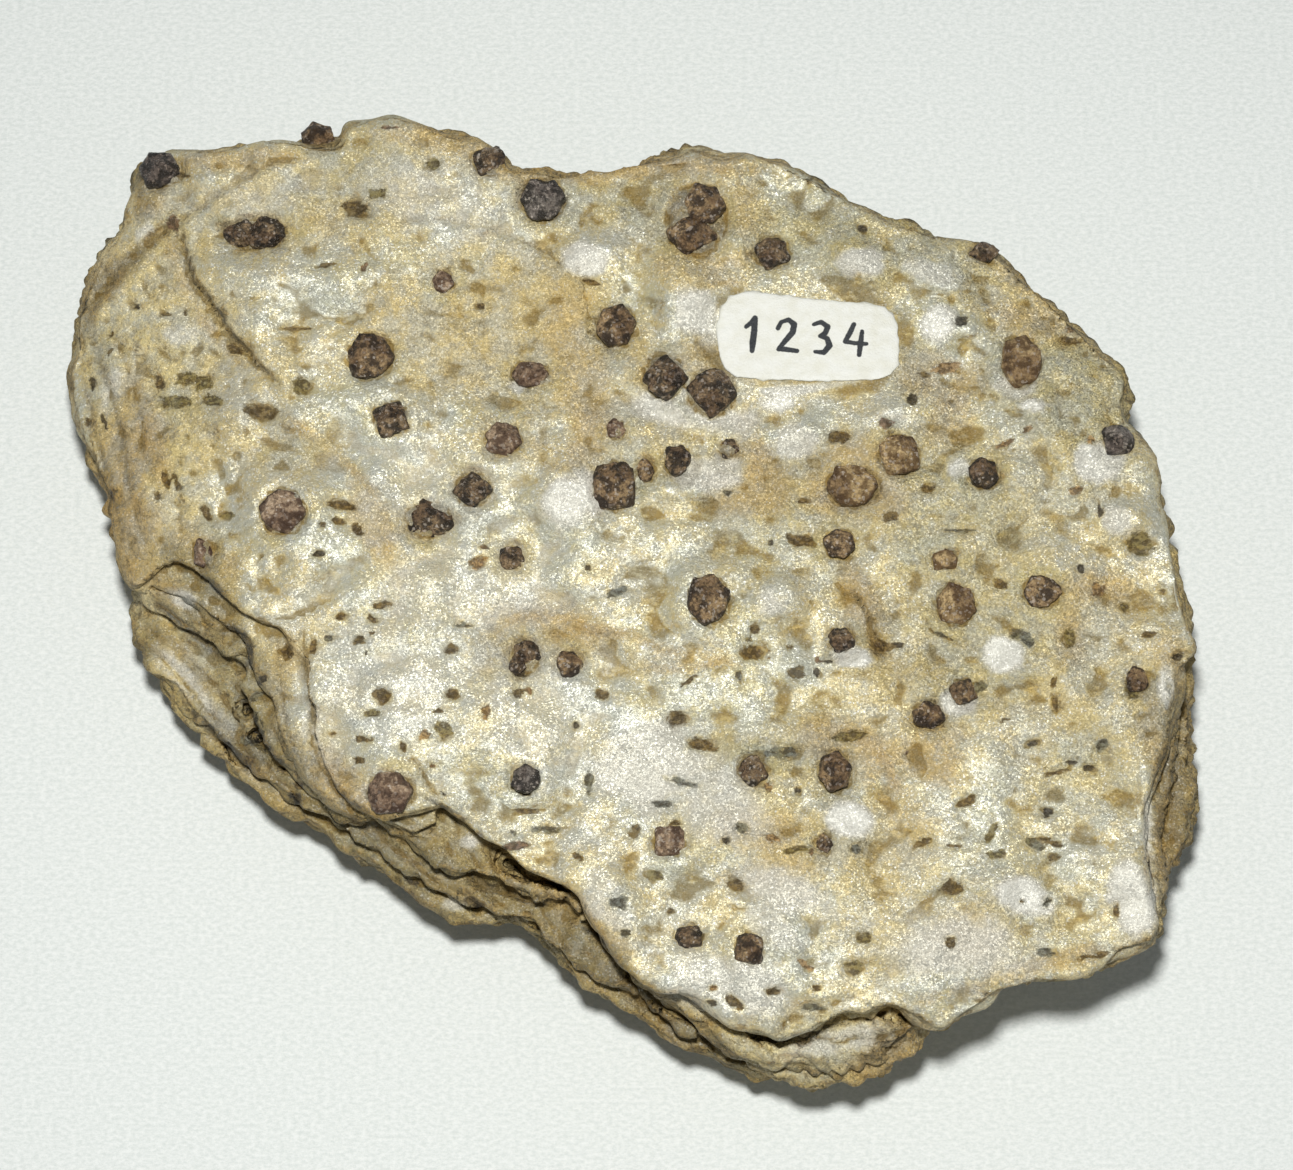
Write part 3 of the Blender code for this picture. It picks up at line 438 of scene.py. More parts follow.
def plan_of(points):
    """Plan places in mm of real places in metres."""
    real = points / MM + MIDDLE
    share = (EYE[2] - TOP) / (EYE[2] - real[:, 2])
    seen = EYE + (real - EYE) * share[:, None]
    return seen[:, 0], seen[:, 1]


def line_distance(x, y, line, reach):
    """Distance to a line, its side (1 on the left) and how far along it, for places within reach."""
    near = np.full(len(x), reach, float)
    side = np.zeros(len(x))
    along = np.zeros(len(x))
    low, high = np.min(line, axis=0) - reach, np.max(line, axis=0) + reach
    close = np.nonzero((x > low[0]) & (x < high[0]) & (y > low[1]) & (y < high[1]))[0]
    px, py = x[close], y[close]
    best, best_side, best_along = near[close], side[close], along[close]
    for index in range(len(line) - 1):
        (ax, ay), (bx, by) = line[index], line[index + 1]
        dx, dy = bx - ax, by - ay
        part = ((px - ax) * dx + (py - ay) * dy) / (dx * dx + dy * dy)
        held = np.clip(part, 0.0, 1.0)
        away = np.hypot(px - ax - held * dx, py - ay - held * dy)
        nearer = away < best
        best = np.where(nearer, away, best)
        best_side = np.where(nearer, np.sign(dx * (py - ay) - dy * (px - ax)), best_side)
        best_along = np.where(nearer, (index + part) / (len(line) - 1), best_along)
    near[close], side[close], along[close] = best, best_side, best_along
    return near, side, along


def tapered(along, pace, least=0.0):
    """How strong a line is along its length: full in the middle, weak or gone at its ends."""
    return np.clip(np.minimum(pace * along, pace * (1 - along)) + least, 0.0, 1.0)


def on_bed(x, y):
    """1 under the label, 0 away from it."""
    away = np.hypot((x - BED_MIDDLE[0]) / BED_HALF[0], (y - BED_MIDDLE[1]) / BED_HALF[1])
    return 1.0 - np.clip((away - 1.0) / 0.5, 0.0, 1.0)


# Colours of the stains and marks, the near white of the painted highlights and the grey of the painted shade
TINTS = {
    "ochre": (0.52, 0.34, 0.115), "brown": (0.17, 0.115, 0.042), "olive": (0.23, 0.185, 0.075),
    "tan": (0.68, 0.565, 0.32), "grey_and_shade": (0.36, 0.37, 0.29), "green": (0.44, 0.42, 0.25),
    "silver_highlight": (0.80, 0.78, 0.68), "gold": (0.72, 0.58, 0.26), "black": (0.05, 0.042, 0.032),
    "blue": (0.17, 0.17, 0.135), "red": (0.19, 0.11, 0.07), "rust": (0.38, 0.24, 0.11),
    "cream": (0.88, 0.80, 0.55),
}

# Broad tinted areas: plan place, half length, half width, turn, strength. Silver is painted highlight; small
# ones are domes.
AREAS = {
    "gold": [
        (-62, 30, 7, 18, 8, 0.6), (-60, 8, 6, 11, -20, 0.6), (-45, 49, 16, 5, 8, 0.4),
        (-18, -35, 15, 5, -35, 0.5), (-53, -2, 6, 5, -30, 0.5), (-20, 55, 18, 3, -8, 0.4),
        (48, 34, 12, 3, -40, 0.35),
    ],
    "tan": [
        (-37, 47, 16, 6, 4, 0.5), (-19, 33, 15, 11, 0, 0.75), (-58, 33, 9, 5, 20, 0.45),
        (-50, 22, 12, 9, 0, 0.35), (30, -15, 14, 9, 20, 0.4), (17, -30, 14, 6, -10, 0.45),
        (35, -40, 16, 8, -10, 0.4), (52, -10, 10, 12, 0, 0.45), (-43, -8, 3, 8, -75, 0.4),
        (48, 12, 14, 9, 20, 0.4), (-3, 22, 7, 12, 80, 0.5),
    ],
    "cream": [
        (-63, 27, 5, 16, 8, 0.85), (-58, 8, 4, 9, -25, 0.7), (-60, 44, 4, 6, -30, 0.6),
        (-54, 33, 7, 7, 0, 0.5), (-53, -11, 8, 2.0, -50, 0.6), (20, -55.5, 11, 4, 5, 0.6),
        (-56, -3, 5, 3, -40, 0.4), (-50, -14, 10, 3.6, -50, 0.5), (-60, 22, 6, 10, 0, 0.4),
        (-43, -22, 8, 2, -45, 0.4), (-30, -33, 8, 1.6, -32, 0.4),
    ],
    "green": [
        (25, 43, 16, 5, -15, 0.6), (51, 25, 9, 8, -40, 0.6), (30, 12, 16, 9, 0, 0.5),
        (40, -3, 12, 9, 0, 0.45), (52, -24, 9, 8, 0, 0.4), (14, 5, 9, 8, 0, 0.4), (2, 47, 6, 7, 0, 0.5),
        (15, -20, 8, 4, 0, 0.4), (20, -55, 9, 3, 0, 0.4),
    ],
    # Grey patches: partly the stone's grey tone, partly painted shade on the sides of swells and garnets
    "grey_and_shade": [
        (-38, 52, 9, 4, 15, 0.45), (-8, 48, 8, 3.5, -10, 0.5), (-57, 23, 4, 2, -10, 0.35),
        (32, 26.5, 2.4, 4, 0, 0.6), (-43, 16.5, 5, 2, 0, 0.5), (42, 28, 2.2, 4, 20, 0.5),
        (5, -25, 7, 4, 0, 0.3), (14, -21, 5, 2.2, 0, 0.5), (16, 14, 4, 4, 0, 0.4),
    ],
    "ochre": [
        (-66, 8, 5, 2.4, 75, 0.6), (-57, -1, 5, 2, -40, 0.5), (-63, 12, 2.2, 8, -12, 0.6),
        (-7, 18, 2.6, 5, -20, 0.5), (3, 29, 6, 3, 0, 0.45), (13, 18, 2, 4, 15, 0.5),
        (-15, 17, 6, 2.4, -20, 0.4), (-64, 17, 9, 3.4, 78, 0.6), (-61.5, 5, 6, 2.6, 70, 0.65),
        (-67, 38, 6, 2.4, 50, 0.45), (-61, 50, 3, 2, 80, 0.7), (-60, 18, 6, 1.6, -75, 0.7),
        (-54, 4, 5, 3, -30, 0.6), (-53, -3, 5, 2.6, -45, 0.6), (-8, 30, 4, 10, 5, 0.4),
        (-34, 8, 6, 2.2, -65, 0.6), (-12, -5.5, 8, 3.4, -5, 0.7), (4, -9, 7, 2.4, 10, 0.4),
        (26, -4, 2.6, 6, 10, 0.7), (7, 47, 6, 5, 0, 0.6), (6, 40, 7, 2.6, 0, 0.5), (12, 13, 4.5, 4, 0, 0.8),
        (25, 13, 6, 5, 0, 0.7), (36, 26, 5, 3, 0, 0.55), (46, 33, 6, 2.4, -20, 0.6),
        (37, 20, 4, 3, 30, 0.5), (10, 28, 6, 2.5, -10, 0.4), (35, -21, 3, 4, 10, 0.6),
        (25, -20, 7, 3, -25, 0.6), (30, -27, 5, 2.2, -40, 0.4), (13, -30, 6, 2.4, -5, 0.5),
        (38, -42, 4, 3, 0, 0.4), (55, 0, 3.4, 2.4, 0, 0.6), (51, -6, 1.6, 4, 0, 0.5),
        (14, -35, 8, 1.8, 15, 0.5), (-36, -25, 10, 2.6, -42, 0.85), (-20, -36, 9, 3, -25, 0.75),
        (-8, -42, 7, 3.4, -45, 0.75), (2, -52, 9, 2.2, -38, 0.7), (28, -57, 5, 2.4, 30, 0.6),
        (62.5, -20, 3, 14, 0, 0.7), (62, -33, 2, 6, 0, 0.8), (-55, -10, 7, 1.6, -48, 0.45),
        (-45, -24, 8, 1.6, -42, 0.5), (-44, -13, 1.6, 8, -8, 0.45), (-8, 53, 14, 1.6, 0, 0.6),
        (8, 54, 10, 1.4, 0, 0.5), (-50, 54.4, 10, 1.6, 5, 0.6), (-25, 57, 8, 1.6, -12, 0.5),
        (50, 35, 10, 1.4, -42, 0.4), (44, -47, 14, 1.2, 16, 0.5), (-31, 3, 3, 8, 10, 0.35),
    ],
    "olive": [
        (-50, -8, 13, 3.4, -55, 0.6), (-46, -19, 10, 2.8, -48, 0.65), (-33, -32, 14, 3, -35, 0.6),
        (2, -51, 10, 2.2, -38, 0.6), (63, -24, 2.4, 13, 0, 0.6), (-54, 2, 5, 3, -30, 0.5),
        (-32, -31, 7, 2, -30, 0.6), (-23, -32.5, 5, 2.6, -35, 0.6), (-13, -41, 13, 3.6, -35, 0.7),
        (-22, -36, 9, 3, -25, 0.5), (-47, -20, 3.4, 2, -40, 0.7), (-4, -47, 6, 1.8, -45, 0.7),
        (8, -56, 6, 1.2, -35, 0.6), (-15.5, -8.5, 5, 4, 0, 0.5), (-66, 30, 3, 1.2, 80, 0.4),
        (-58, -7, 5, 1.4, -50, 0.4), (33, -10, 5, 3, 0, 0.3), (60, -14, 2.5, 4, 0, 0.4),
        (6, -19, 5, 2.4, -10, 0.45), (27, -6.5, 2.6, 3, 0, 0.45),
    ],
    "brown": [
        (-64.5, 40, 5, 1.4, 40, 0.6), (-62, 50, 1.6, 3.4, 0, 0.6), (-68.4, 33, 3, 1, 70, 0.45),
        (-30, -36.5, 8, 1, -28, 0.5), (62.4, -27, 1.6, 7, 0, 0.55), (-49, -19, 6, 1, -42, 0.6),
        (-1, -50, 8, 0.9, -42, 0.6), (29, -55.5, 3, 1.2, 30, 0.6),
    ],
    # Painted highlights: here the mica is laid near white and shinier
    "silver_highlight": [
        (-25, 48, 10, 4.4, -15, 0.35), (-48, 49.5, 9, 3, 12, 0.25), (-7, 41.5, 4, 3, -20, 0.8),
        (6, 34.5, 3.4, 4, 0, 0.8), (-9, 10.5, 5, 4.4, 0, 0.85), (-30, -14, 11, 9, 0, 0.45),
        (-12, -15, 9, 8, 0, 0.42), (-22, 0, 13, 6, 0, 0.4), (-27, 12, 12, 6, 0, 0.35),
        (0, -22, 8, 6, 0, 0.7), (8, -27, 6, 5, 0, 0.5), (10, -48, 7, 3.4, -10, 0.7),
        (37, -44, 7, 4.4, 0, 0.6), (44.5, -38, 4.4, 3, -20, 0.95), (57, -38, 4, 5, 0, 0.85),
        (24, -28.5, 3.4, 2.4, -25, 1.0), (43, -8.5, 3, 2.6, 0, 0.95), (36, 33, 3.4, 3, 0, 0.95),
        (45, 25, 3.4, 2.4, 0, 0.6), (55, 15.5, 4.4, 3, 0, 0.8), (57, 8, 3, 2.4, 0, 0.6),
        (16, 24, 3.4, 2.6, 0, 0.9), (18, 18, 3.4, 3, 0, 0.6), (38, 14.5, 2, 1.8, 0, 0.9),
        (-65.5, 24, 1.2, 3.4, -10, 0.45), (-62, 44, 1.4, 3, -20, 0.5), (-57, 31.5, 3, 1.4, 0, 0.4),
        (24.5, -9, 3, 1.6, 0, 0.9), (37.5, -14.5, 2.4, 1.6, 0, 0.8), (-55, -12, 6, 1.0, -48, 0.55),
        (-56, -1.6, 2, 1.4, -30, 0.6), (22, -55, 6, 1.4, 10, 0.5), (-20.8, -31.4, 1.6, 1.2, 0, 0.7),
        (-22.5, -38.8, 1.6, 1, 0, 0.5), (16, -37, 6, 2.6, -25, 0.6), (5, 21.4, 7, 2.0, -12, 0.8),
        (8, 14, 5, 3, 0, 0.6), (15.5, -2, 3, 2.4, 0, 0.6), (4.5, 24, 1.4, 3, 0, 0.7),
        (62.2, -12.5, 1.2, 3, 0, 0.8), (59.6, -30, 1, 7, 2, 0.6), (26.5, 41, 3.4, 2, 0, 0.7),
        (15, -42, 5, 2, -30, 0.5), (-40, -17, 2, 3, 0, 0.5), (-5, -38, 3, 6, 35, 0.5),
        (35, 39.5, 4, 2, -20, 0.5), (27, 30, 3, 2, 0, 0.4), (-15.7, 24.9, 1.2, 1, 30, 1.0),
        (47, 22.6, 2, 1, 0, 0.8), (1, 25.3, 1.4, 2.4, 0, 0.7), (30, 21, 4, 1.6, 0, 0.4),
    ],
}

# Small pits and dark minerals: plan place, length, width, turn, depth (below 0 where they stand up)
MARKS = {
    "black": [
        (-62.6, 35.2, 1.2, 0.8, -20, 0.6), (-67.6, 25.4, 1.0, 2.0, 10, 0.7),
        (-66, 20.4, 2.2, 0.7, -65, 0.7), (-39.6, 3.8, 1.8, 1.0, 10, 0.6), (-7.1, 2.1, 1.0, 0.9, 0, 0.5),
        (26.7, 45.2, 1.6, 1.2, -30, 0.8), (38.6, 33.3, 2.2, 1.9, 20, 0.5), (32.5, 23.3, 1.7, 1.6, 20, 0.4),
        (15, 5.2, 0.9, 0.8, 0, 0.5), (52.4, 2.1, 1.3, 1.5, 20, 0.6), (54.9, 9.2, 0.7, 2.2, 0, 0.6),
        (63.7, -8.9, 2.4, 1.1, 25, 1.2), (46, -19.5, 2.0, 1.0, 25, 0.8), (50.8, -21.8, 1.6, 0.9, 0, 0.7),
        (52.8, -22.5, 1.8, 0.9, -15, 0.6), (47.6, -27.8, 1.4, 1.3, 0, 0.9), (9.4, -31.4, 1.0, 1.3, 0, 0.8),
        (-8.5, -17.3, 0.9, 1.1, 20, 0.6), (23.3, -6.4, 2.6, 1.1, 0, 0.8), (23.6, -7.4, 1.2, 1.4, 0, 0.8),
        (18, -25.3, 1.1, 0.9, 0, 0.5), (7.6, -50.6, 1.5, 0.8, -15, 0.7), (-46, -11.6, 1.5, 0.8, 40, 0.5),
        (-27.6, -36.3, 2.6, 0.9, -15, 0.8), (-49.9, -19.6, 1.6, 0.9, -40, 0.9),
        (-24.2, -25.6, 1.0, 0.5, -40, 0.5), (-15.2, -10.8, 1.5, 1.6, 0, 0.5),
        (-41.6, -26.2, 2.2, 1.2, -45, 0.8), (20.4, -10.9, 1.1, 1.9, 10, 0.4),
        (-14.2, -25.5, 1.3, 0.6, 0, 0.5), (21.9, -9.5, 1.3, 0.7, 0, 0.4), (30.2, -7.4, 1.4, 0.8, 0, 0.6),
        (-33.6, -8.4, 0.8, 0.8, 0, 0.4),
    ],
    "brown": [
        (-69, 35.8, 1.2, 0.8, 20, 0.4), (-58.8, 34.2, 1.6, 0.9, 0, 0.4), (-56.5, 34.3, 1.2, 0.7, 0, 0.4),
        (-59.3, 25.3, 1.5, 2.2, 20, 0.7), (-50.3, 29.7, 2.6, 1.6, -30, 0.9),
        (-47, 21.7, 4.4, 2.0, -10, 0.8), (-68, 20.4, 1.2, 1.4, 0, 0.5), (-68.4, 18.4, 1.4, 0.7, -70, 0.4),
        (-65.5, 31.6, 1.6, 0.6, 60, 0.4), (-65.6, 29.4, 1.6, 0.6, 60, 0.4),
        (-57.3, 52.2, 2.2, 0.8, -10, 0.6), (-42.8, 32.3, 4.4, 0.7, 3, 0.6),
        (-39.3, 40.5, 2.6, 0.9, 10, 0.4), (-35.8, 47.8, 3.6, 2.6, -30, 0.7),
        (-6.8, 38.3, 3.0, 0.9, -20, 0.4), (-20.4, 35.2, 1.1, 0.9, 0, 0.4), (-58.3, 13.3, 1.0, 2.6, 20, 0.5),
        (-59.2, 11, 1.0, 1.8, 20, 0.4), (-53.3, 8.8, 1.0, 2.8, 30, 0.6), (-64.7, 11.2, 0.8, 1.8, 10, 0.5),
        (-37, 10, 4.2, 1.5, -8, 0.8), (-37.2, 7.9, 2.0, 1.3, -20, 0.6), (-39.2, 7.6, 1.2, 0.8, 0, 0.4),
        (-35, 7, 1.2, 2.2, 20, 0.4), (35.2, 43.8, 0.8, 1.0, 0, 0.3), (51.9, 30.8, 2.9, 1.2, -5, 0.5),
        (33.8, 26.4, 1.8, 1.3, 0, 0.5), (34, 12, 2.2, 1.4, 10, 0.5), (23.4, 18.5, 3.0, 1.9, 0, 0.4),
        (18.6, 5.5, 4.0, 1.7, -5, 0.6), (19, 10.4, 2.0, 0.8, 10, 0.3), (29.5, 8.5, 2.2, 1.4, 10, 0.4),
        (37, 22.9, 0.9, 0.6, 0, 0.3), (13, -5.4, 1.7, 1.1, 0, 0.5), (12.6, -8.4, 3.3, 1.8, 3, 0.7),
        (18, -10.8, 2.0, 1.9, 0, -0.3), (28.4, -7.6, 2.8, 1.5, -15, 0.8), (17.2, -7.8, 0.8, 0.6, 0, 0.3),
        (42.7, 0, 1.8, 1.4, 0, 0.4), (60.4, -6.1, 2.3, 1.2, 10, 0.6), (62.2, -0.8, 1.0, 0.9, 0, 0.4),
        (48.7, -12, 1.0, 1.5, -20, 0.4), (48.9, -14.6, 0.9, 2.2, 10, 0.5), (42.8, -16.6, 1.8, 0.6, 15, 0.3),
        (49, -23, 3.2, 0.9, 12, 0.5), (38, -26.6, 2.7, 1.1, 25, 0.7), (32.9, -31.4, 3.2, 0.9, 25, 0.5),
        (36.4, -31.9, 2.6, 0.6, -10, 0.4), (47.8, -31.4, 3.2, 0.9, -20, 0.6),
        (48.3, -33.2, 1.6, 1.1, 0, 0.5), (36.3, -36.9, 3.4, 1.8, 0, 0.7), (10.6, -36.5, 2.5, 1.6, -30, 0.5),
        (35.8, -43.4, 1.5, 1.4, 30, 0.5), (55.4, -39.6, 0.9, 1.9, 0, 0.5), (53, -44.9, 4.8, 0.8, 12, 0.4),
        (14.8, -49.2, 2.2, 1.0, 0, 0.6), (10.3, -50.5, 3.2, 1.3, -35, 0.8), (-33, -4.2, 1.8, 1.0, -20, 0.5),
        (-36.7, -3.9, 1.7, 1.3, 10, 0.5), (-31.8, -2.5, 2.6, 1.0, 10, 0.5), (-34.5, -6.8, 1.8, 1.1, 0, 0.5),
        (-33, -6, 1.0, 0.9, 0, 0.4), (-43.1, -8.4, 1.6, 2.0, 35, 1.0), (-40, -7.7, 0.9, 1.9, -10, 0.7),
        (-31.7, -13.6, 2.0, 2.2, 20, 0.7), (-24.8, -15.5, 2.5, 0.7, 10, 0.5),
        (-23.2, -13.5, 2.3, 1.6, -10, 0.6), (-23.3, -7.9, 2.0, 1.3, 10, 0.5),
        (-15.3, -13.3, 1.9, 1.4, 30, 0.6), (-5.3, -13.6, 1.7, 1.4, -20, 0.5),
        (-13.9, -27.7, 3.6, 0.9, -3, 0.4), (-8.1, -33.3, 1.8, 0.9, -35, 0.5),
        (-34.3, -21.6, 1.6, 1.0, -20, 0.5), (-33.8, -19, 2.2, 1.0, 0, 0.5),
        (-37.6, -18.3, 1.1, 0.8, 0, 0.4), (-29.1, -19.9, 1.0, 1.8, 20, 0.4),
        (-20.4, -38.7, 3.0, 1.3, -25, 0.8), (-47.4, -21.6, 1.8, 1.4, 0, 0.6),
        (3.6, -16.6, 2.8, 2.2, -15, 0.8), (6.5, -19.6, 4.4, 1.6, -12, 0.6), (-2, -20.2, 1.4, 0.5, 0, 0.3),
        (5, -11.9, 3.2, 0.7, 35, 0.4), (3, -29.1, 3.6, 0.6, 0, 0.5), (-1.4, -30, 1.8, 2.0, 0, 0.4),
        (2.9, -39.7, 0.9, 0.8, 0, 0.3), (-41.3, -24.6, 1.6, 1.0, -40, 0.5), (20, -48.9, 1.4, 0.8, 0, 0.3),
        (-57, 12.8, 0.8, 2.6, 15, 0.4), (44.2, -38.6, 0.7, 0.6, 0, 0.2),
    ],
    "olive": [
        (-56.4, 26, 2.6, 2.0, 20, 0.6), (-54, 25.4, 2.6, 2.0, -10, 0.7), (-57.4, 23, 4.0, 1.8, 0, 0.6),
        (-53, 23.2, 3.0, 1.5, 0, 0.6), (-42.1, 25, 2.4, 2.3, 0, 1.0), (-26.4, 53.7, 2.8, 1.7, 10, 0.6),
        (-33.2, 49.8, 2.6, 1.3, 0, 0.5), (-50.8, 8.7, 1.8, 0.8, 0, 0.4), (-32.9, -15.8, 2.2, 1.3, 0, 0.5),
        (-24.2, -17.8, 2.0, 2.4, 20, 0.4), (24.2, -18.6, 4.8, 1.7, 8, 0.7), (0.9, -35.5, 2.3, 1.5, 0, 0.4),
        (41, -30.2, 3.2, 1.0, 55, 0.5), (41.4, -32.8, 2.6, 1.0, 0, 0.4), (50.8, -6.5, 1.5, 2.4, 0, 0.4),
        (57.3, -2.8, 1.5, 1.0, 0, 0.3), (25.6, -43, 2.1, 1.5, 0, 0.4), (24.4, -46.5, 2.5, 1.7, 0, 0.5),
        (17.8, -32.3, 3.8, 0.8, 12, 0.5), (5.2, -42.8, 3.3, 1.9, 0, 0.3), (12.2, -6.8, 1.0, 0.8, 0, 0.3),
        (59.6, 5.2, 3.6, 3.4, 0, 0.9), (58, -13, 2.2, 3.0, 0, 0.5),
    ],
    "blue": [
        (37.8, 6.7, 4.0, 0.6, 0, 0.4), (44.8, -6.2, 2.5, 1.6, -15, 0.5), (46, -7, 1.4, 1.8, 0, 0.4),
        (54.3, -19.6, 1.5, 1.9, -15, 0.6), (46.2, -31.7, 2.6, 1.3, -20, 0.7),
        (47.3, -38.6, 1.6, 1.0, 50, 0.5), (47.2, -44.6, 2.3, 1.3, 0, 0.5), (4.2, -24.2, 4.2, 1.1, -15, 0.5),
        (-6.8, -24.2, 1.2, 3.2, 0, 0.5), (-11.8, -29.9, 4.4, 1.3, 2, 0.4), (-15.8, -30.3, 1.6, 0.7, 0, 0.3),
        (-3.3, -38.6, 2.7, 1.8, 0, 0.4), (-2.5, -42.4, 1.4, 1.0, 0, 0.3), (11.3, -29.8, 1.9, 1.5, -30, 0.5),
        (24.9, -32.2, 1.1, 1.4, 20, 0.4), (19.5, -51.1, 3.0, 1.2, 0, 0.4), (16.2, -20.6, 4.4, 1.8, -5, 0.3),
        (-38, -6.6, 1.6, 0.9, 0, 0.3), (-46.8, -13.8, 2.0, 1.2, 30, 0.3), (-47.5, -19.2, 3.0, 1.4, 0, 0.5),
        (11.1, -11.2, 0.9, 1.8, 0, 0.3), (35.6, -6.3, 3.4, 0.6, -25, 0.5), (2, -26.8, 3.2, 1.0, 0, 0.2),
        (-22, -5, 2.4, 0.8, 0, 0.3), (-3.4, -0.8, 3.0, 1.2, 25, 0.3), (9.8, 11.6, 1.2, 1.0, 0, 0.3),
        (40, -12.6, 1.8, 1.4, 0, 0.3),
    ],
    "red": [
        (-58.3, 46, 1.9, 2.1, 0, -0.6), (-32, 58.6, 2.7, 1.0, 5, -0.4), (29, 20.2, 1.9, 1.5, 0, -0.4),
        (-19.5, 4.8, 1.0, 0.8, 0, -0.2), (-15.4, -31.9, 3.2, 1.3, 0, -0.2), (31, -20.5, 0.8, 1.0, 0, 0.2),
        (19.6, -32.5, 1.0, 1.2, 0, -0.2), (-14.1, -13.1, 1.0, 0.9, 0, -0.2),
        (-25.5, -22.1, 1.0, 0.9, 0, 0.2), (-34.6, 40.4, 0.8, 2.4, -30, 0.3),
        (58.9, -10.6, 1.8, 1.4, 0, -0.4), (20.6, -9.2, 1.1, 0.9, 0, 0.3),
    ],
    "rust": [
        (-20.4, 2.8, 2.6, 1.8, 20, 0.4), (36.6, 27.3, 3.6, 1.7, 0, 0.4), (52, 11.8, 2.2, 1.4, 15, -0.3),
        (53.8, 18.3, 1.3, 1.1, 0, -0.2), (43.5, 17.6, 3.0, 0.8, 25, 0.3), (46.2, 19.4, 1.7, 0.7, 35, 0.4),
        (14.8, -31, 2.4, 1.1, -5, -0.2), (18.6, -46, 2.2, 1.0, -45, 0.3), (14.6, -8.6, 1.0, 1.2, 0, 0.2),
        (14.6, -24.7, 1.6, 1.5, 0, 0.3), (-26.5, -18.4, 1.6, 1.1, 0, -0.2),
        (-19.2, -15.7, 1.0, 2.1, 0, 0.3), (51.7, 32.3, 1.5, 1.0, 0, 0.2), (7.9, -48.8, 1.2, 0.8, 0, 0.2),
        (54.4, -0.5, 1.8, 2.2, 0, 0.2),
    ],
}
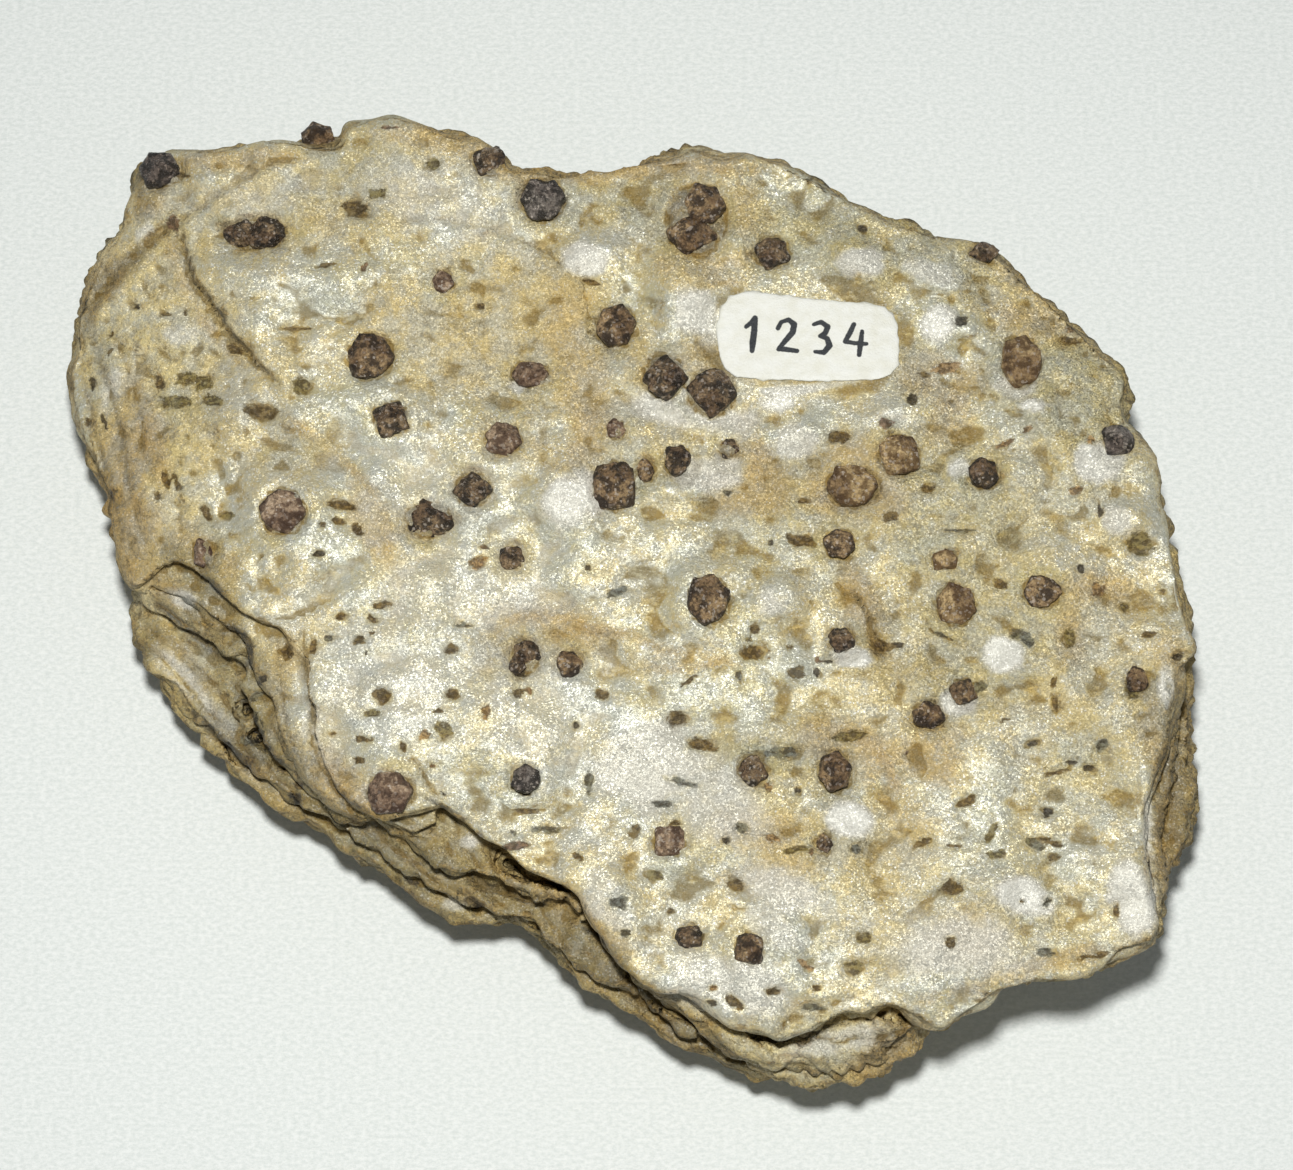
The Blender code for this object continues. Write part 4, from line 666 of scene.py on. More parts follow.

# Cracks and creases: width, depth (below 0 for a ridge), line. The black ones are painted shadow in open
# cracks.
CREASES = {
    "brown": [
        (1.1, 0.9, [(-57.5, 46.8), (-60, 44.6), (-63.5, 41.5), (-66.5, 37.5), (-68.6, 34)]),
        (0.35, 0.3, [(-58.4, 46.5), (-57.6, 43), (-57, 40.5), (-55.8, 37.8), (-54.4, 36), (-53, 34.6)]),
        (0.5, 0.5, [
            (-41.8, -3.5), (-40.9, -8), (-40.6, -12), (-39.9, -16), (-39.9, -19.5), (-39, -22),
            (-36.9, -25), (-34.9, -27), (-32.5, -28), (-30, -28.8), (-27, -29.5), (-24.5, -30.5),
        ]),
        (0.45, 0.5, [
            (-38.8, -22.5), (-36.2, -26.5), (-34.5, -28.9), (-32, -30.5), (-30.5, -32), (-28, -33.5),
            (-25.5, -36), (-23.5, -38),
        ]),
        (0.5, 0.5, [(-28.6, -21.2), (-27.2, -21.8), (-26.2, -24), (-24.5, -26.6)]),
        (0.4, 0.4, [(-9.4, -43.7), (-8, -44.7), (-6.5, -44.9), (-5.4, -44.1), (-4.8, -45.5)]),
        (0.35, 0.4, [
            (15.5, -54.5), (16.2, -53.1), (17.2, -52.1), (20, -52.4), (21.3, -51.5), (22.3, -50.5),
            (24.2, -49.9),
        ]),
        (0.45, 0.6, [
            (13.1, -56.8), (15, -58.1), (17.3, -58), (18.6, -57.3), (22.8, -57.6), (25.9, -57),
            (27.5, -56.2),
        ]),
        (0.35, 0.4, [(17.5, -55.3), (20, -54.7), (22.9, -55.3), (25.4, -54.3)]),
        (0.5, 0.5, [(-4, -46.5), (-1, -49.5), (3, -52.8), (7, -55), (11, -57.3), (14, -58.8)]),
        (0.4, 0.4, [(-8, -43.8), (-3, -48.3), (0, -50.8), (4, -53.8), (9, -56.6)]),
        (0.35, 0.35, [(-28, -35), (-24, -37.2), (-20, -39.6), (-15, -40.6), (-11, -43.2), (-6, -46.4)]),
        (0.35, 0.35, [(-45.5, -22.9), (-42, -25.3), (-38, -28), (-34, -30.8), (-30, -33.6)]),
        (0.35, 0.3, [(-59.6, -7.5), (-57, -10.5), (-54.5, -13), (-52.6, -15.6), (-50.2, -17.6)]),
        (0.3, 0.25, [(-57.5, -6), (-54.2, -9.6), (-51.6, -12.4), (-49.8, -15.4), (-47.8, -17.6)]),
        (0.35, 0.3, [(-44.5, -6), (-43.9, -10), (-43.4, -15), (-42.6, -19), (-40.6, -22.2)]),
        (0.5, 0.4, [(-67.6, 31.5), (-66.4, 27), (-64.6, 22), (-63.4, 17), (-62.6, 11), (-60.6, 5)]),
        (0.4, 0.3, [(-65.3, 31.8), (-63.4, 27.5), (-61.7, 22.5), (-61, 17), (-59.2, 12)]),
        (0.4, 0.35, [(-68.8, 26), (-67.6, 21.5), (-66.2, 16.5), (-64.6, 11), (-63, 5.6)]),
        (0.5, 0.35, [(25, -0.4), (26.5, -3), (27.3, -7), (28.5, -9.4)]),
        (0.35, 0.3, [(33.3, -3.6), (34.3, -5.6), (36.4, -6.9), (38.4, -7)]),
        (0.3, 0.25, [(-9, -5.6), (-4.6, -6.2), (-0.6, -5.6)]),
        (0.3, 0.25, [(62.3, -10), (62.6, -15), (61.9, -20), (61.2, -26), (60.6, -31)]),
        (0.35, 0.3, [(60.4, -28.4), (59.8, -33), (60.4, -38)]),
    ],
    "black": [
        (0.34, 0.8, [
            (-57.6, 47), (-57, 44.4), (-56.6, 42.2), (-55.9, 40), (-55.4, 38.2), (-54, 36.9), (-53.1, 35.4),
            (-51.9, 34), (-51.3, 32.2), (-50, 31), (-48.6, 29.5), (-47.7, 27.8), (-46.2, 26.9), (-44.3, 25),
        ]),
        (0.55, 0.9, [(-57.5, 3), (-54.5, 1.2), (-52.5, 0.4), (-50.6, -1.6)]),
        (0.55, 1.0, [(-59.4, -1.7), (-57.5, -3.5), (-55, -5.5), (-53.2, -7.2), (-51.1, -8.8)]),
        (0.6, 1.0, [
            (-51.3, -5.8), (-49.8, -5.4), (-48.3, -6.2), (-47.5, -7.8), (-47.6, -9.6), (-48.3, -10.5),
        ]),
        (0.45, 1.0, [
            (-49.2, -12.4), (-47.6, -15), (-46.5, -17.8), (-45, -20), (-44, -21.5), (-42.1, -22.4),
        ]),
        (0.4, 0.8, [
            (-22, -35.2), (-20.1, -35.7), (-18.9, -36.8), (-16.7, -37.2), (-15, -38.2), (-12.7, -39),
            (-11.4, -38.5), (-9.2, -38),
        ]),
        (0.45, 0.8, [(-7.6, -41.6), (-6, -42.5), (-4.6, -44)]),
        (0.6, 1.0, [(26.9, -55.4), (27.6, -54.6), (29.2, -54.1), (31.4, -53.7)]),
        (0.35, 0.5, [(-27, -25.6), (-24.6, -27), (-22.6, -27.9), (-21.3, -28.7)]),
        (0.6, 0.9, [(-53.3, -16.5), (-51.5, -18.2), (-49.8, -19.8), (-48, -21.5), (-46.5, -23)]),
        (0.3, 0.4, [(-37.8, -24), (-35.4, -26.4), (-33.4, -27.6)]),
    ],
    "ochre": [
        (1.0, -0.3, [(-44, 21), (-39, 17.5), (-35, 14), (-31.5, 9.8), (-31, 3)]),
        (0.9, 0.0, [(-58.6, 44), (-58, 40.5), (-56.4, 37), (-54.2, 33.4), (-51.6, 30.4), (-49, 27.6)]),
        (0.9, -0.2, [(-17.4, -4.6), (-14, -3.6), (-10, -4), (-6.4, -5.6), (-1, -6.4), (4, -8.6)]),
        (0.8, -0.2, [(24.5, -18.6), (27, -19.6), (28.8, -22), (30, -26)]),
        (0.7, -0.2, [(0, -10), (5, -10.6), (9, -9.4), (13, -10.2)]),
        (0.6, 0.2, [(5, 37.4), (9, 38.3), (13, 38)]),
    ],
}


def oval(x, y, row, ragged, soft):
    """How well an oval covers each plan place near it: (indices, cover), with a ragged outline."""
    cx, cy, length, width, turn = row[:5]
    reach = max(length, width) * 0.5 * (1.3 + soft) + 0.6
    close = np.nonzero((np.abs(x - cx) < reach) & (np.abs(y - cy) < reach))[0]
    angle = math.radians(turn)
    dx, dy = x[close] - cx, y[close] - cy
    along = np.abs(dx * math.cos(angle) + dy * math.sin(angle)) / (length / 2)
    across = np.abs(dy * math.cos(angle) - dx * math.sin(angle)) / (width / 2)
    squareness = 1.3 + 1.9 * (abs(7.3 * cx + 3.1 * cy) % 1.0)
    away = (along**squareness + across**squareness) ** (1 / squareness) + ragged[close]
    return close, eased((1.0 + soft / 2 - away) / soft)


def crystal_places():
    """Plan place and half width and depth of every garnet node, in mm."""
    places = []
    for name in sorted(frame["nodes"]):
        if name.startswith("garnet_"):
            low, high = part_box(name)
            middle = np.array((low + high) / 2)[None]
            x, y = plan_of(middle)
            places.append((x[0], y[0], (high.x - low.x) / 2 / MM, (high.y - low.y) / 2 / MM))
    return places


def from_crystal(x, y, place):
    """Distance in mm of plan places from a garnet's rim, below 0 inside it."""
    cx, cy, half_x, half_y = place
    return (np.hypot((x - cx) / half_x, (y - cy) / half_y) - 1.0) * min(half_x, half_y)


GARNETS = crystal_places()

# Silver areas are painted highlights; those with a shorter half length than this are also raised as knobs
SMALL_SPOT = 6.0


def wrinkled(points, normals):
    """Plan places and levels of the stone's surface after its relief, steps, cracks and pits."""
    x, y, level = points.T
    up = np.maximum(0.0, normals[:, 2])
    bed = on_bed(x, y) * up
    shown = eased((level - 11.0) / 4.0)
    hang = bow(x, y)
    relief = 1.6 * noise_at(x, y, level * 1.6, 11.0) + 0.8 * noise_at(x + 40.0, y, level * 2.2, 4.2)
    crumple = 1.5 * ridged(x, y, level, (8.0, 6.5, 6.0), 61.0)
    crumple += 0.34 * ridged(x, y, level, (3.6, 2.1, 2.0), 13.0)
    crumple += 0.1 * ridged(x, y, level, (2.2, 1.2, 1.2), 37.0)
    crumple += 0.12 * noise_at(x, y, level, (1.5, 1.05, 0.9), 57.0)
    leafing = 0.5 * noise_at(x, y, level, (9.0, 9.0, 0.95), 7.0)
    leafing += 0.28 * noise_at(x, y, level, (4.0, 4.0, 0.5), 91.0)
    folds = 0.35 * noise_at(hang * 1.5, x, y, (1.0, 5.0, 5.0), 31.0)
    folds += 0.2 * noise_at(hang * 3.5, x, y, (1.0, 3.0, 3.0), 83.0)
    folds += 0.7 * ridged(x, y, level, (3.0, 2.2, 2.2), 71.0) + 0.3 * noise_at(x, y, level, 1.3, 29.0)
    folds *= np.clip(hang / 1.5, 0.0, 1.0)
    fine = crumple * up + leafing * (1.0 - up) + folds * up
    rise = relief * np.where(level > SIDE_FROM, 1.0, 0.7) + fine * (0.35 + 0.65 * shown)
    along, across = (x - y) * 0.7, (x + y) * 0.7
    ledge = eased((30.5 - level) / 2.0) * shown
    pleats = 1.5 * ridged(along, across, level, (4.5, 1.7, 1.7), 19.0)
    rise += ledge * (pleats + 0.35 * noise_at(along, across, level, (1.8, 0.9, 0.9), 47.0))
    moved = points + normals * (rise * (1.0 - bed))[:, None]
    top = up * (level > SIDE_FROM)
    drop = np.zeros(len(x))
    for depth, run, line in STEPS:
        near, side, along = line_distance(x, y, line, run)
        drop += np.where(side > 0.0, depth * tapered(along, 4) * (1 - near / run) ** 2, 0.0)
    for cx, cy, radius, height in SWELLS:
        drop -= height * np.exp(-1.5 * ((x - cx) ** 2 + (y - cy) ** 2) / radius**2)
    ragged = 0.5 * noise_at(x, y, level, 0.9, 23.0)
    domes = np.zeros(len(x))
    for cx, cy, half_long, half_wide, turn, strength in AREAS["silver_highlight"]:
        if half_long < SMALL_SPOT:
            close, cover = oval(x, y, (cx, cy, half_long * 2.1, half_wide * 2.1, turn), 0.5 * ragged, 1.0)
            domes[close] += min(0.9, 0.5 * math.sqrt(half_long * half_wide) * strength) * cover
    for rows in MARKS.values():
        for row in rows:
            close, cover = oval(x, y, row, ragged, 0.8)
            drop[close] += row[5] * cover * 0.95
    for rows in CREASES.values():
        for width, depth, line in rows:
            near, _, along = line_distance(x + ragged * 0.7, y - ragged * 0.7, line, width * 1.6)
            drop += depth * tapered(along, 6, 0.3) * eased(1.25 - near / (width * 0.8))
    for garnet_place in GARNETS:
        away = from_crystal(x, y, garnet_place) + ragged
        domes *= 1.0 - eased(1.5 - away / 1.2)
        drop += 0.6 * eased(1.0 - np.abs(away + 0.15) / 0.55) - 0.2 * eased(1.0 - np.abs(away - 1.2) / 1.4)
    moved[:, 2] -= (drop - domes) * top * (1.0 - bed)
    return moved


def stone_mesh():
    """The stone's surface in metres, kept inside the box of its solid."""
    mesh = grown_leaves()
    points = points_of(mesh) / MM
    ends = edges_of(mesh)
    points = evened(points, ends, 2)
    points = evened(points, ends, 30, where=(points[:, 2] < FOOT_FROM).astype(float))
    put_points(mesh, points)
    placed = settled(wrinkled(points, normals_of(mesh)))
    low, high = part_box("schist")
    put_points(mesh, np.clip(placed, low, high))
    stone = linked("stone", mesh)
    thinned = stone.modifiers.new("thinned", "DECIMATE")
    thinned.ratio = min(1.0, STONE_FACES / (2 * len(mesh.polygons)))
    shape = finished_mesh(stone)
    put_points(shape, np.clip(points_of(shape), low, high))
    return shape


def painted_tints(mesh):
    """Stores what the finish reads: stains, marks, how hollow and how level the surface is, and the painted
    highlights.
    """
    points, normals, ends = points_of(mesh), normals_of(mesh), edges_of(mesh)
    x, y = plan_of(points)
    level = points[:, 2] / MM
    ragged = noise_at(x, y, level, 0.9, 23.0)
    wide = noise_at(x, y, level, 4.5, 77.0)
    colour = np.tile(TINTS["tan"], (len(x), 1))
    cover = np.zeros(len(x))
    painted_highlight = np.zeros(len(x))
    everywhere = slice(None)

    def lay(where, share, tint):
        mixed = share[:, None]
        colour[where] = colour[where] * (1 - mixed) + np.array(TINTS[tint]) * mixed
        cover[where] = cover[where] + share * (1 - cover[where])

    facing = eased((normals[:, 2] - 0.5) / 0.45)
    side = eased((0.62 - normals[:, 2]) / 0.45)
    leaf_level = (level + MIDDLE[2]) / (1.0 - bow(x, y) / TOP)
    under = eased((30.4 - leaf_level) / 1.4)
    facing *= 1.0 - 0.25 * under
    seams = eased(0.1 + 1.4 * noise_at(x, y, level, (6.0, 6.0, 0.8), 3.0))
    lay(everywhere, under * 0.85, "gold")
    lay(everywhere, under * np.clip(0.25 + 0.8 * wide, 0.0, 0.9), "olive")
    lay(everywhere, side * 0.7 * (0.6 + 0.4 * wide), "ochre")
    lay(everywhere, side * seams * 0.8, "brown")
    for tint, rows in AREAS.items():
        for row in rows:
            cx, cy, half_long, half_wide, turn, strength = row
            small = tint == "silver_highlight" and half_long < SMALL_SPOT
            size, soft = (1.6, 0.5) if small else (2.0, 1.0)
            outline = (cx, cy, half_long * size, half_wide * size, turn)
            close, share = oval(x, y, outline, 0.35 * wide + 0.15 * ragged, soft)
            # Silver areas are painted highlights: their cover is kept as the highlight share, and some silver
            # colour is laid
            if tint == "silver_highlight":
                painted_highlight[close] = np.maximum(painted_highlight[close], share * strength)
                share = share * 0.6
            # Beside each small silver knob, grey on a wider oval shifted down and right: painted shade on its
            # far side
            if small:
                shade_oval = (cx + 0.5, cy - 0.9, half_long * 2.4, half_wide * 2.4, turn)
                edge, shaded = oval(x, y, shade_oval, 0.6 * wide + 0.3 * ragged, 0.6)
                lay(edge, shaded * 0.3 * strength, "grey_and_shade")
            lay(close, share * strength, tint)
    # The black creases are painted shadow in the open cracks; the brown and ochre ones are stains
    for tint, rows in CREASES.items():
        for width, _, line in rows:
            near, _, along = line_distance(x + ragged * 0.35, y - ragged * 0.35, line, width * 2.2)
            narrowed = 0.85 if tint == "black" else 0.9
            share = eased(1.35 - near / (width * narrowed)) * tapered(along, 5, 0.35)
            broken = 0.9 if tint == "black" else np.clip(0.45 + 0.8 * wide, 0.1, 0.8)
            lay(everywhere, share * broken, tint)
            painted_highlight *= 1 - share
    for garnet_place in GARNETS:
        away = from_crystal(x, y, garnet_place) + 0.35 * ragged
        halo = eased(1.0 - np.abs(away - 0.9) / 1.1) * np.clip(0.25 + 0.7 * wide, 0.0, 1.0)
        lay(everywhere, halo, "green")
        # Brown laid in the groove round each garnet: painted shadow of the groove
        rim = eased((0.12 - away) / 0.4)
        lay(everywhere, rim * 0.85, "brown")
        painted_highlight *= 1 - np.clip(rim + halo * 0.5, 0.0, 1.0)
    mark_colour = np.tile(TINTS["brown"], (len(x), 1))
    mark_cover = np.zeros(len(x))
    for tint, rows in MARKS.items():
        for row in rows:
            close, share = oval(x, y, row, 0.5 * ragged, 0.9)
            stronger = close[share > mark_cover[close]]
            mark_colour[stronger] = TINTS[tint]
            mark_cover[close] = np.maximum(mark_cover[close], share)
            painted_highlight[close] *= 1 - share
    even = evened(points, ends, 6)
    depth = ((even - points) * normals).sum(axis=1) / MM
    hollow = np.clip(evened(depth, ends, 1) * 6.0, -1.0, 1.0)

    store(mesh, "stain", np.column_stack([colour, cover]))
    store(mesh, "mark", np.column_stack([mark_colour, mark_cover]))
    store(mesh, "hollow", hollow)
    store(mesh, "facing", facing)
    store(mesh, "painted_highlight", painted_highlight)


class Finish:
    """A material built node by node, with places in millimetres."""

    def __init__(self, name):
        self.material = bpy.data.materials.new(name)
        self.material.use_nodes = True
        self.tree = self.material.node_tree
        self.shader = self.tree.nodes["Principled BSDF"]
        scaled = self.node("ShaderNodeMapping", {"Scale": (1 / MM,) * 3})
        self.link(self.node("ShaderNodeTexCoord").outputs["Object"], scaled.inputs["Vector"])
        self.places = scaled.outputs["Vector"]

    def node(self, kind, inputs=None, **settings):
        """A new node with its settings, and with values or links on its inputs."""
        made = self.tree.nodes.new(kind)
        for name, value in settings.items():
            setattr(made, name, value)
        for name, value in (inputs or {}).items():
            if isinstance(value, bpy.types.NodeSocket):
                self.link(value, made.inputs[name])
            else:
                made.inputs[name].default_value = value
        return made

    def link(self, source, target):
        self.tree.links.new(source, target)

    def noise(self, scale, detail=3.0, roughness=0.55, stretch=None):
        places = self.places
        if stretch:
            places = self.node("ShaderNodeMapping", {"Vector": places, "Scale": stretch}).outputs[0]
        inputs = {"Vector": places, "Scale": scale, "Detail": detail, "Roughness": roughness}
        return self.node("ShaderNodeTexNoise", inputs).outputs[0]

    def math(self, operation, first, second=0.0, clamp=False):
        inputs = {0: first, 1: second}
        return self.node("ShaderNodeMath", inputs, operation=operation, use_clamp=clamp).outputs[0]

    def plus(self, first, second):
        return self.math("ADD", first, second)

    def minus(self, first, second):
        return self.math("SUBTRACT", first, second)

    def larger(self, first, second):
        return self.math("MAXIMUM", first, second)

    def times(self, first, *factors):
        for factor in factors:
            first = self.math("MULTIPLY", first, factor)
        return first

    def spread(self, value, low, high, to_low=0.0, to_high=1.0):
        """The value eased from one range into another, and held at its ends."""
        inputs = {"Value": value, "From Min": low, "From Max": high, "To Min": to_low, "To Max": to_high}
        return self.node("ShaderNodeMapRange", inputs, interpolation_type="SMOOTHSTEP").outputs[0]

    def mix(self, share, first, second, blend="MIX"):
        inputs = {0: share, 6: self.rgba(first), 7: self.rgba(second)}
        return self.node("ShaderNodeMix", inputs, data_type="RGBA", blend_type=blend).outputs[2]

    def shaded(self, colour, factors):
        return self.mix(1.0, colour, factors, "MULTIPLY")

    def rgba(self, colour):
        return colour if isinstance(colour, bpy.types.NodeSocket) else (*colour, 1.0)

    def attribute(self, name):
        return self.node("ShaderNodeAttribute", attribute_name=name).outputs["Fac"]

    def grains(self, scale):
        """Small flat grains: three random numbers each, and the height in mm as each leans its own way."""
        cells = self.node("ShaderNodeTexVoronoi", {"Vector": self.places, "Scale": scale})
        colour = cells.outputs["Color"]
        centred = self.node("ShaderNodeVectorMath", {0: colour, 1: (0.5, 0.5, 0.5)}, operation="SUBTRACT")
        inside = {0: self.places, 1: cells.outputs["Position"]}
        from_middle = self.node("ShaderNodeVectorMath", inside, operation="SUBTRACT")
        both = {0: centred.outputs[0], 1: from_middle.outputs[0]}
        lean = self.node("ShaderNodeVectorMath", both, operation="DOT_PRODUCT").outputs["Value"]
        return self.node("ShaderNodeSeparateColor", {"Color": colour}).outputs, lean

    def bump(self, height, strength):
        inputs = {"Height": height, "Strength": strength, "Distance": MM}
        return self.node("ShaderNodeBump", inputs).outputs[0]

    def surface(self, **inputs):
        """The material, with these values or links on its shader."""
        for name, value in inputs.items():
            name = "Base Color" if name == "base_color" else name.capitalize()
            if isinstance(value, bpy.types.NodeSocket):
                self.link(value, self.shader.inputs[name])
            else:
                self.shader.inputs[name].default_value = value
        return self.material


def mica_finish():
    """Pearly mica flakes and pale quartz, stained by the painted tints, darker in the hollows, with painted
    highlights and glints.
    """
    made = Finish("mica_schist")
    stain = made.node("ShaderNodeAttribute", attribute_name="stain").outputs
    mark = made.node("ShaderNodeAttribute", attribute_name="mark").outputs
    painted_highlight = made.attribute("painted_highlight")
    facing = made.attribute("facing")
    broad = made.noise(0.11, 2.0)
    middle = made.noise(0.55, 4.0, 0.65)
    fine = made.noise(2.6, 3.0, 0.7, (1.0, 1.6, 1.6))
    coarse = made.noise(1.1, 3.0, 0.6, (1.0, 1.4, 1.4))
    warm = made.noise(0.22, 5.0, 0.74)
    flake, flake_lean = made.grains(2.3)
    small, small_lean = made.grains(5.0)
    uneven = made.times(made.minus(fine, 0.5), 0.9)

    # Quartz and mica under the stains, each flake a little lighter or darker
    ground = made.mix(made.spread(broad, 0.38, 0.62), (0.54, 0.51, 0.335), (0.65, 0.545, 0.315))
    ground = made.mix(made.spread(middle, 0.35, 0.68, 0.0, 0.55), ground, (0.75, 0.71, 0.52))
    edge = made.plus(made.plus(stain["Alpha"], uneven), made.times(made.minus(middle, 0.5), 1.1))
    stained = made.times(made.spread(edge, 0.1, 0.75), 0.96)
    colour = made.mix(stained, ground, stain["Color"])
    lighter = made.shaded(colour, (1.4, 1.36, 1.28))
    colour = made.mix(made.spread(flake[0], 0.0, 1.0, 0.0, 0.4), colour, lighter)
    darker = made.shaded(colour, (0.55, 0.5, 0.4))
    colour = made.mix(made.spread(small[0], 0.0, 1.0, 0.5, 0.0), colour, darker)
    colour = made.mix(made.spread(coarse, 0.42, 0.62, 0.35, 0.0), colour, darker)

    # Dirt: thin wandering lines and brown patches; and the hollows laid darker brown
    wandering = made.math("ABSOLUTE", made.minus(made.noise(0.17, 4.0, 0.55, (1.0, 1.4, 1.4)), 0.5))
    thread = made.spread(wandering, 0.0, 0.011, 1.0, 0.0)
    thread = made.times(thread, made.spread(middle, 0.42, 0.55, 1.0, 0.0), 0.5)
    colour = made.mix(thread, colour, (0.27, 0.20, 0.09))
    blots = made.spread(made.noise(0.4, 4.0, 0.68, (1.0, 1.5, 1.5)), 0.5, 0.6)
    patch = made.times(blots, made.spread(facing, 0.3, 1.0, 0.8, 0.24))
    patch_colour = made.mix(made.spread(coarse, 0.4, 0.6), (0.17, 0.12, 0.05), (0.42, 0.29, 0.11))
    colour = made.mix(patch, colour, patch_colour)
    hollows_and_patches = made.times(made.spread(made.attribute("hollow"), 0.1, 0.8), made.minus(1.0, painted_highlight))
    hollows_and_patches = made.larger(hollows_and_patches, patch)
    colour = made.mix(made.times(hollows_and_patches, made.spread(patch, 0.0, 0.3, 0.75, 0.1)), colour, (0.20, 0.14, 0.05))
    # Painted highlight: the silver areas laid near white
    colour = made.mix(made.times(painted_highlight, 0.75), colour, (0.86, 0.87, 0.82))

    # Small pits and dark minerals, with darker cores
    marked = made.plus(made.plus(mark["Alpha"], uneven), made.times(made.minus(coarse, 0.5), 0.8))
    core = made.shaded(mark["Color"], (0.34, 0.31, 0.28))
    mark_colour = made.mix(made.spread(coarse, 0.46, 0.6), core, made.shaded(mark["Color"], (1.1, 1.1, 1.1)))
    mark_colour = made.mix(made.spread(fine, 0.5, 0.7, 0.0, 0.25), mark_colour, (0.33, 0.26, 0.14))
    mark_share = made.spread(marked, 0.42, 0.8)
    colour = made.mix(made.times(mark_share, 0.9), colour, mark_colour)

    # Bare mica shines like a grey metal, what isn't bare is tinged cool or warm, and painted glints dot it
    # near white
    stain_hold = made.times(stained, made.spread(facing, 0.3, 1.0, 0.92, 0.6))
    covered = made.larger(stain_hold, made.larger(hollows_and_patches, mark_share))
    bare = made.times(
        made.minus(1.0, covered), made.spread(middle, 0.3, 0.6, 0.6, 1.0),
        made.spread(flake[1], 0.0, 1.0, 0.7, 1.0), made.spread(facing, 0.0, 1.0, 0.25, 1.0),
    )
    metal = made.times(bare, made.spread(painted_highlight, 0.0, 0.6, 0.62, 0.8))
    colour = made.mix(metal, colour, (0.77, 0.79, 0.71))
    tinge = made.mix(made.spread(warm, 0.38, 0.62), (0.93, 1.01, 1.12), (1.08, 1.0, 0.66))
    tinged = made.math("SUBTRACT", 1.0, made.larger(metal, made.times(painted_highlight, 1.6)), clamp=True)
    tinged = made.times(tinged, made.spread(facing, 0.2, 0.9, 0.5, 1.0))
    colour = made.mix(tinged, colour, made.shaded(colour, tinge))
    # Painted glints: scattered small flakes laid near white, more on faces turned up
    painted_glint = made.times(
        made.spread(small[2], 0.88, 0.96), made.minus(1.0, mark_share),
        made.spread(stained, 0.3, 0.9, 1.0, 0.35), made.spread(painted_highlight, 0.6, 0.8, 1.0, 0.2),
        made.minus(1.0, made.times(hollows_and_patches, 0.8)), made.spread(facing, 0.0, 0.6, 0.2, 0.8),
    )
    colour = made.mix(painted_glint, colour, (0.92, 0.93, 0.85))

    # Each flake leans its own way
    height = made.plus(
        made.times(flake_lean, made.spread(stain["Alpha"], 0.1, 0.8, 0.12, 0.2)),
        made.times(small_lean, made.spread(stain["Alpha"], 0.1, 0.8, 0.42, 1.0)),
    )
    height = made.times(height, made.spread(painted_highlight, 0.6, 0.9, 1.1, 0.5))
    height = made.plus(height, made.times(fine, 0.07))
    height = made.plus(height, made.times(coarse, made.spread(painted_highlight, 0.0, 1.0, 0.14, 0.07)))
    return made.surface(
        base_color=colour,
        metallic=metal,
        roughness=made.minus(made.spread(small[1], 0.0, 1.0, 0.7, 0.55), made.times(bare, 0.22)),
        normal=made.bump(height, 1.0),
    )


stone_shape = stone_mesh()
stone_shape.name = "stone"
painted_tints(stone_shape)
stone = dressed("stone", stone_shape, mica_finish())
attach(stone, "root")
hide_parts("schist")

# The garnets: blunt twelve-sided crystals grown in the stone, each rough and granular and darker towards its
# rim.
# Each takes its place and outline from its solid, its faces refined, its corners worn and its top broken.

# Body colour, pale grains, dark colour of specks and rim, and roughness of each kind
GARNET_LOOKS = {
    "plum": ((0.13, 0.11, 0.095), (0.34, 0.30, 0.26), (0.03, 0.026, 0.022), 0.28),
    "rust": ((0.27, 0.17, 0.085), (0.54, 0.385, 0.20), (0.04, 0.026, 0.016), 0.4),
    "umber": ((0.16, 0.11, 0.062), (0.42, 0.295, 0.165), (0.026, 0.02, 0.014), 0.36),
    "rose": ((0.40, 0.265, 0.16), (0.62, 0.48, 0.33), (0.12, 0.07, 0.042), 0.45),
    "ochre": ((0.48, 0.325, 0.14), (0.70, 0.53, 0.28), (0.16, 0.095, 0.038), 0.48),
}


def garnet_finish(name):
    """Granular garnet: body colour, paler grains, dark specks, darker to the rim, some facets in painted
    shade.
    """
    body, pale, dark, roughness = GARNET_LOOKS[name]
    made = Finish(f"garnet_{name}")
    rim = made.attribute("rim")
    broad = made.noise(0.7, 4.0, 0.6)
    fine = made.noise(3.2, 5.0, 0.7)
    grain, lean = made.grains(3.4)
    colour = made.mix(made.spread(fine, 0.3, 0.68), body, pale)
    colour = made.mix(made.spread(grain[0], 0.35, 1.0, 0.0, 0.6), colour, dark)
    colour = made.mix(made.spread(broad, 0.44, 0.58, 0.0, 0.88), colour, dark)
    edge = made.plus(rim, made.times(made.minus(broad, 0.5), 1.6))
    colour = made.mix(made.spread(edge, 0.7, 1.05, 0.0, 0.8), colour, dark)
    colour = made.mix(made.spread(grain[2], 0.84, 0.94, 0.0, 0.45), colour, (0.78, 0.70, 0.60))
    # Painted shade: facets turned some ways are laid darker
    facet_shade_colour = made.shaded(colour, (0.42, 0.36, 0.34))
    colour = made.mix(made.spread(made.attribute("facet_shade"), -0.25, 0.3, 0.8, 0.0), colour, facet_shade_colour)
    return made.surface(
        base_color=colour,
        roughness=made.spread(grain[1], 0.0, 1.0, roughness + 0.2, roughness - 0.12),
        normal=made.bump(made.plus(made.times(lean, 0.9), made.times(fine, 0.35)), 1.0),
    )


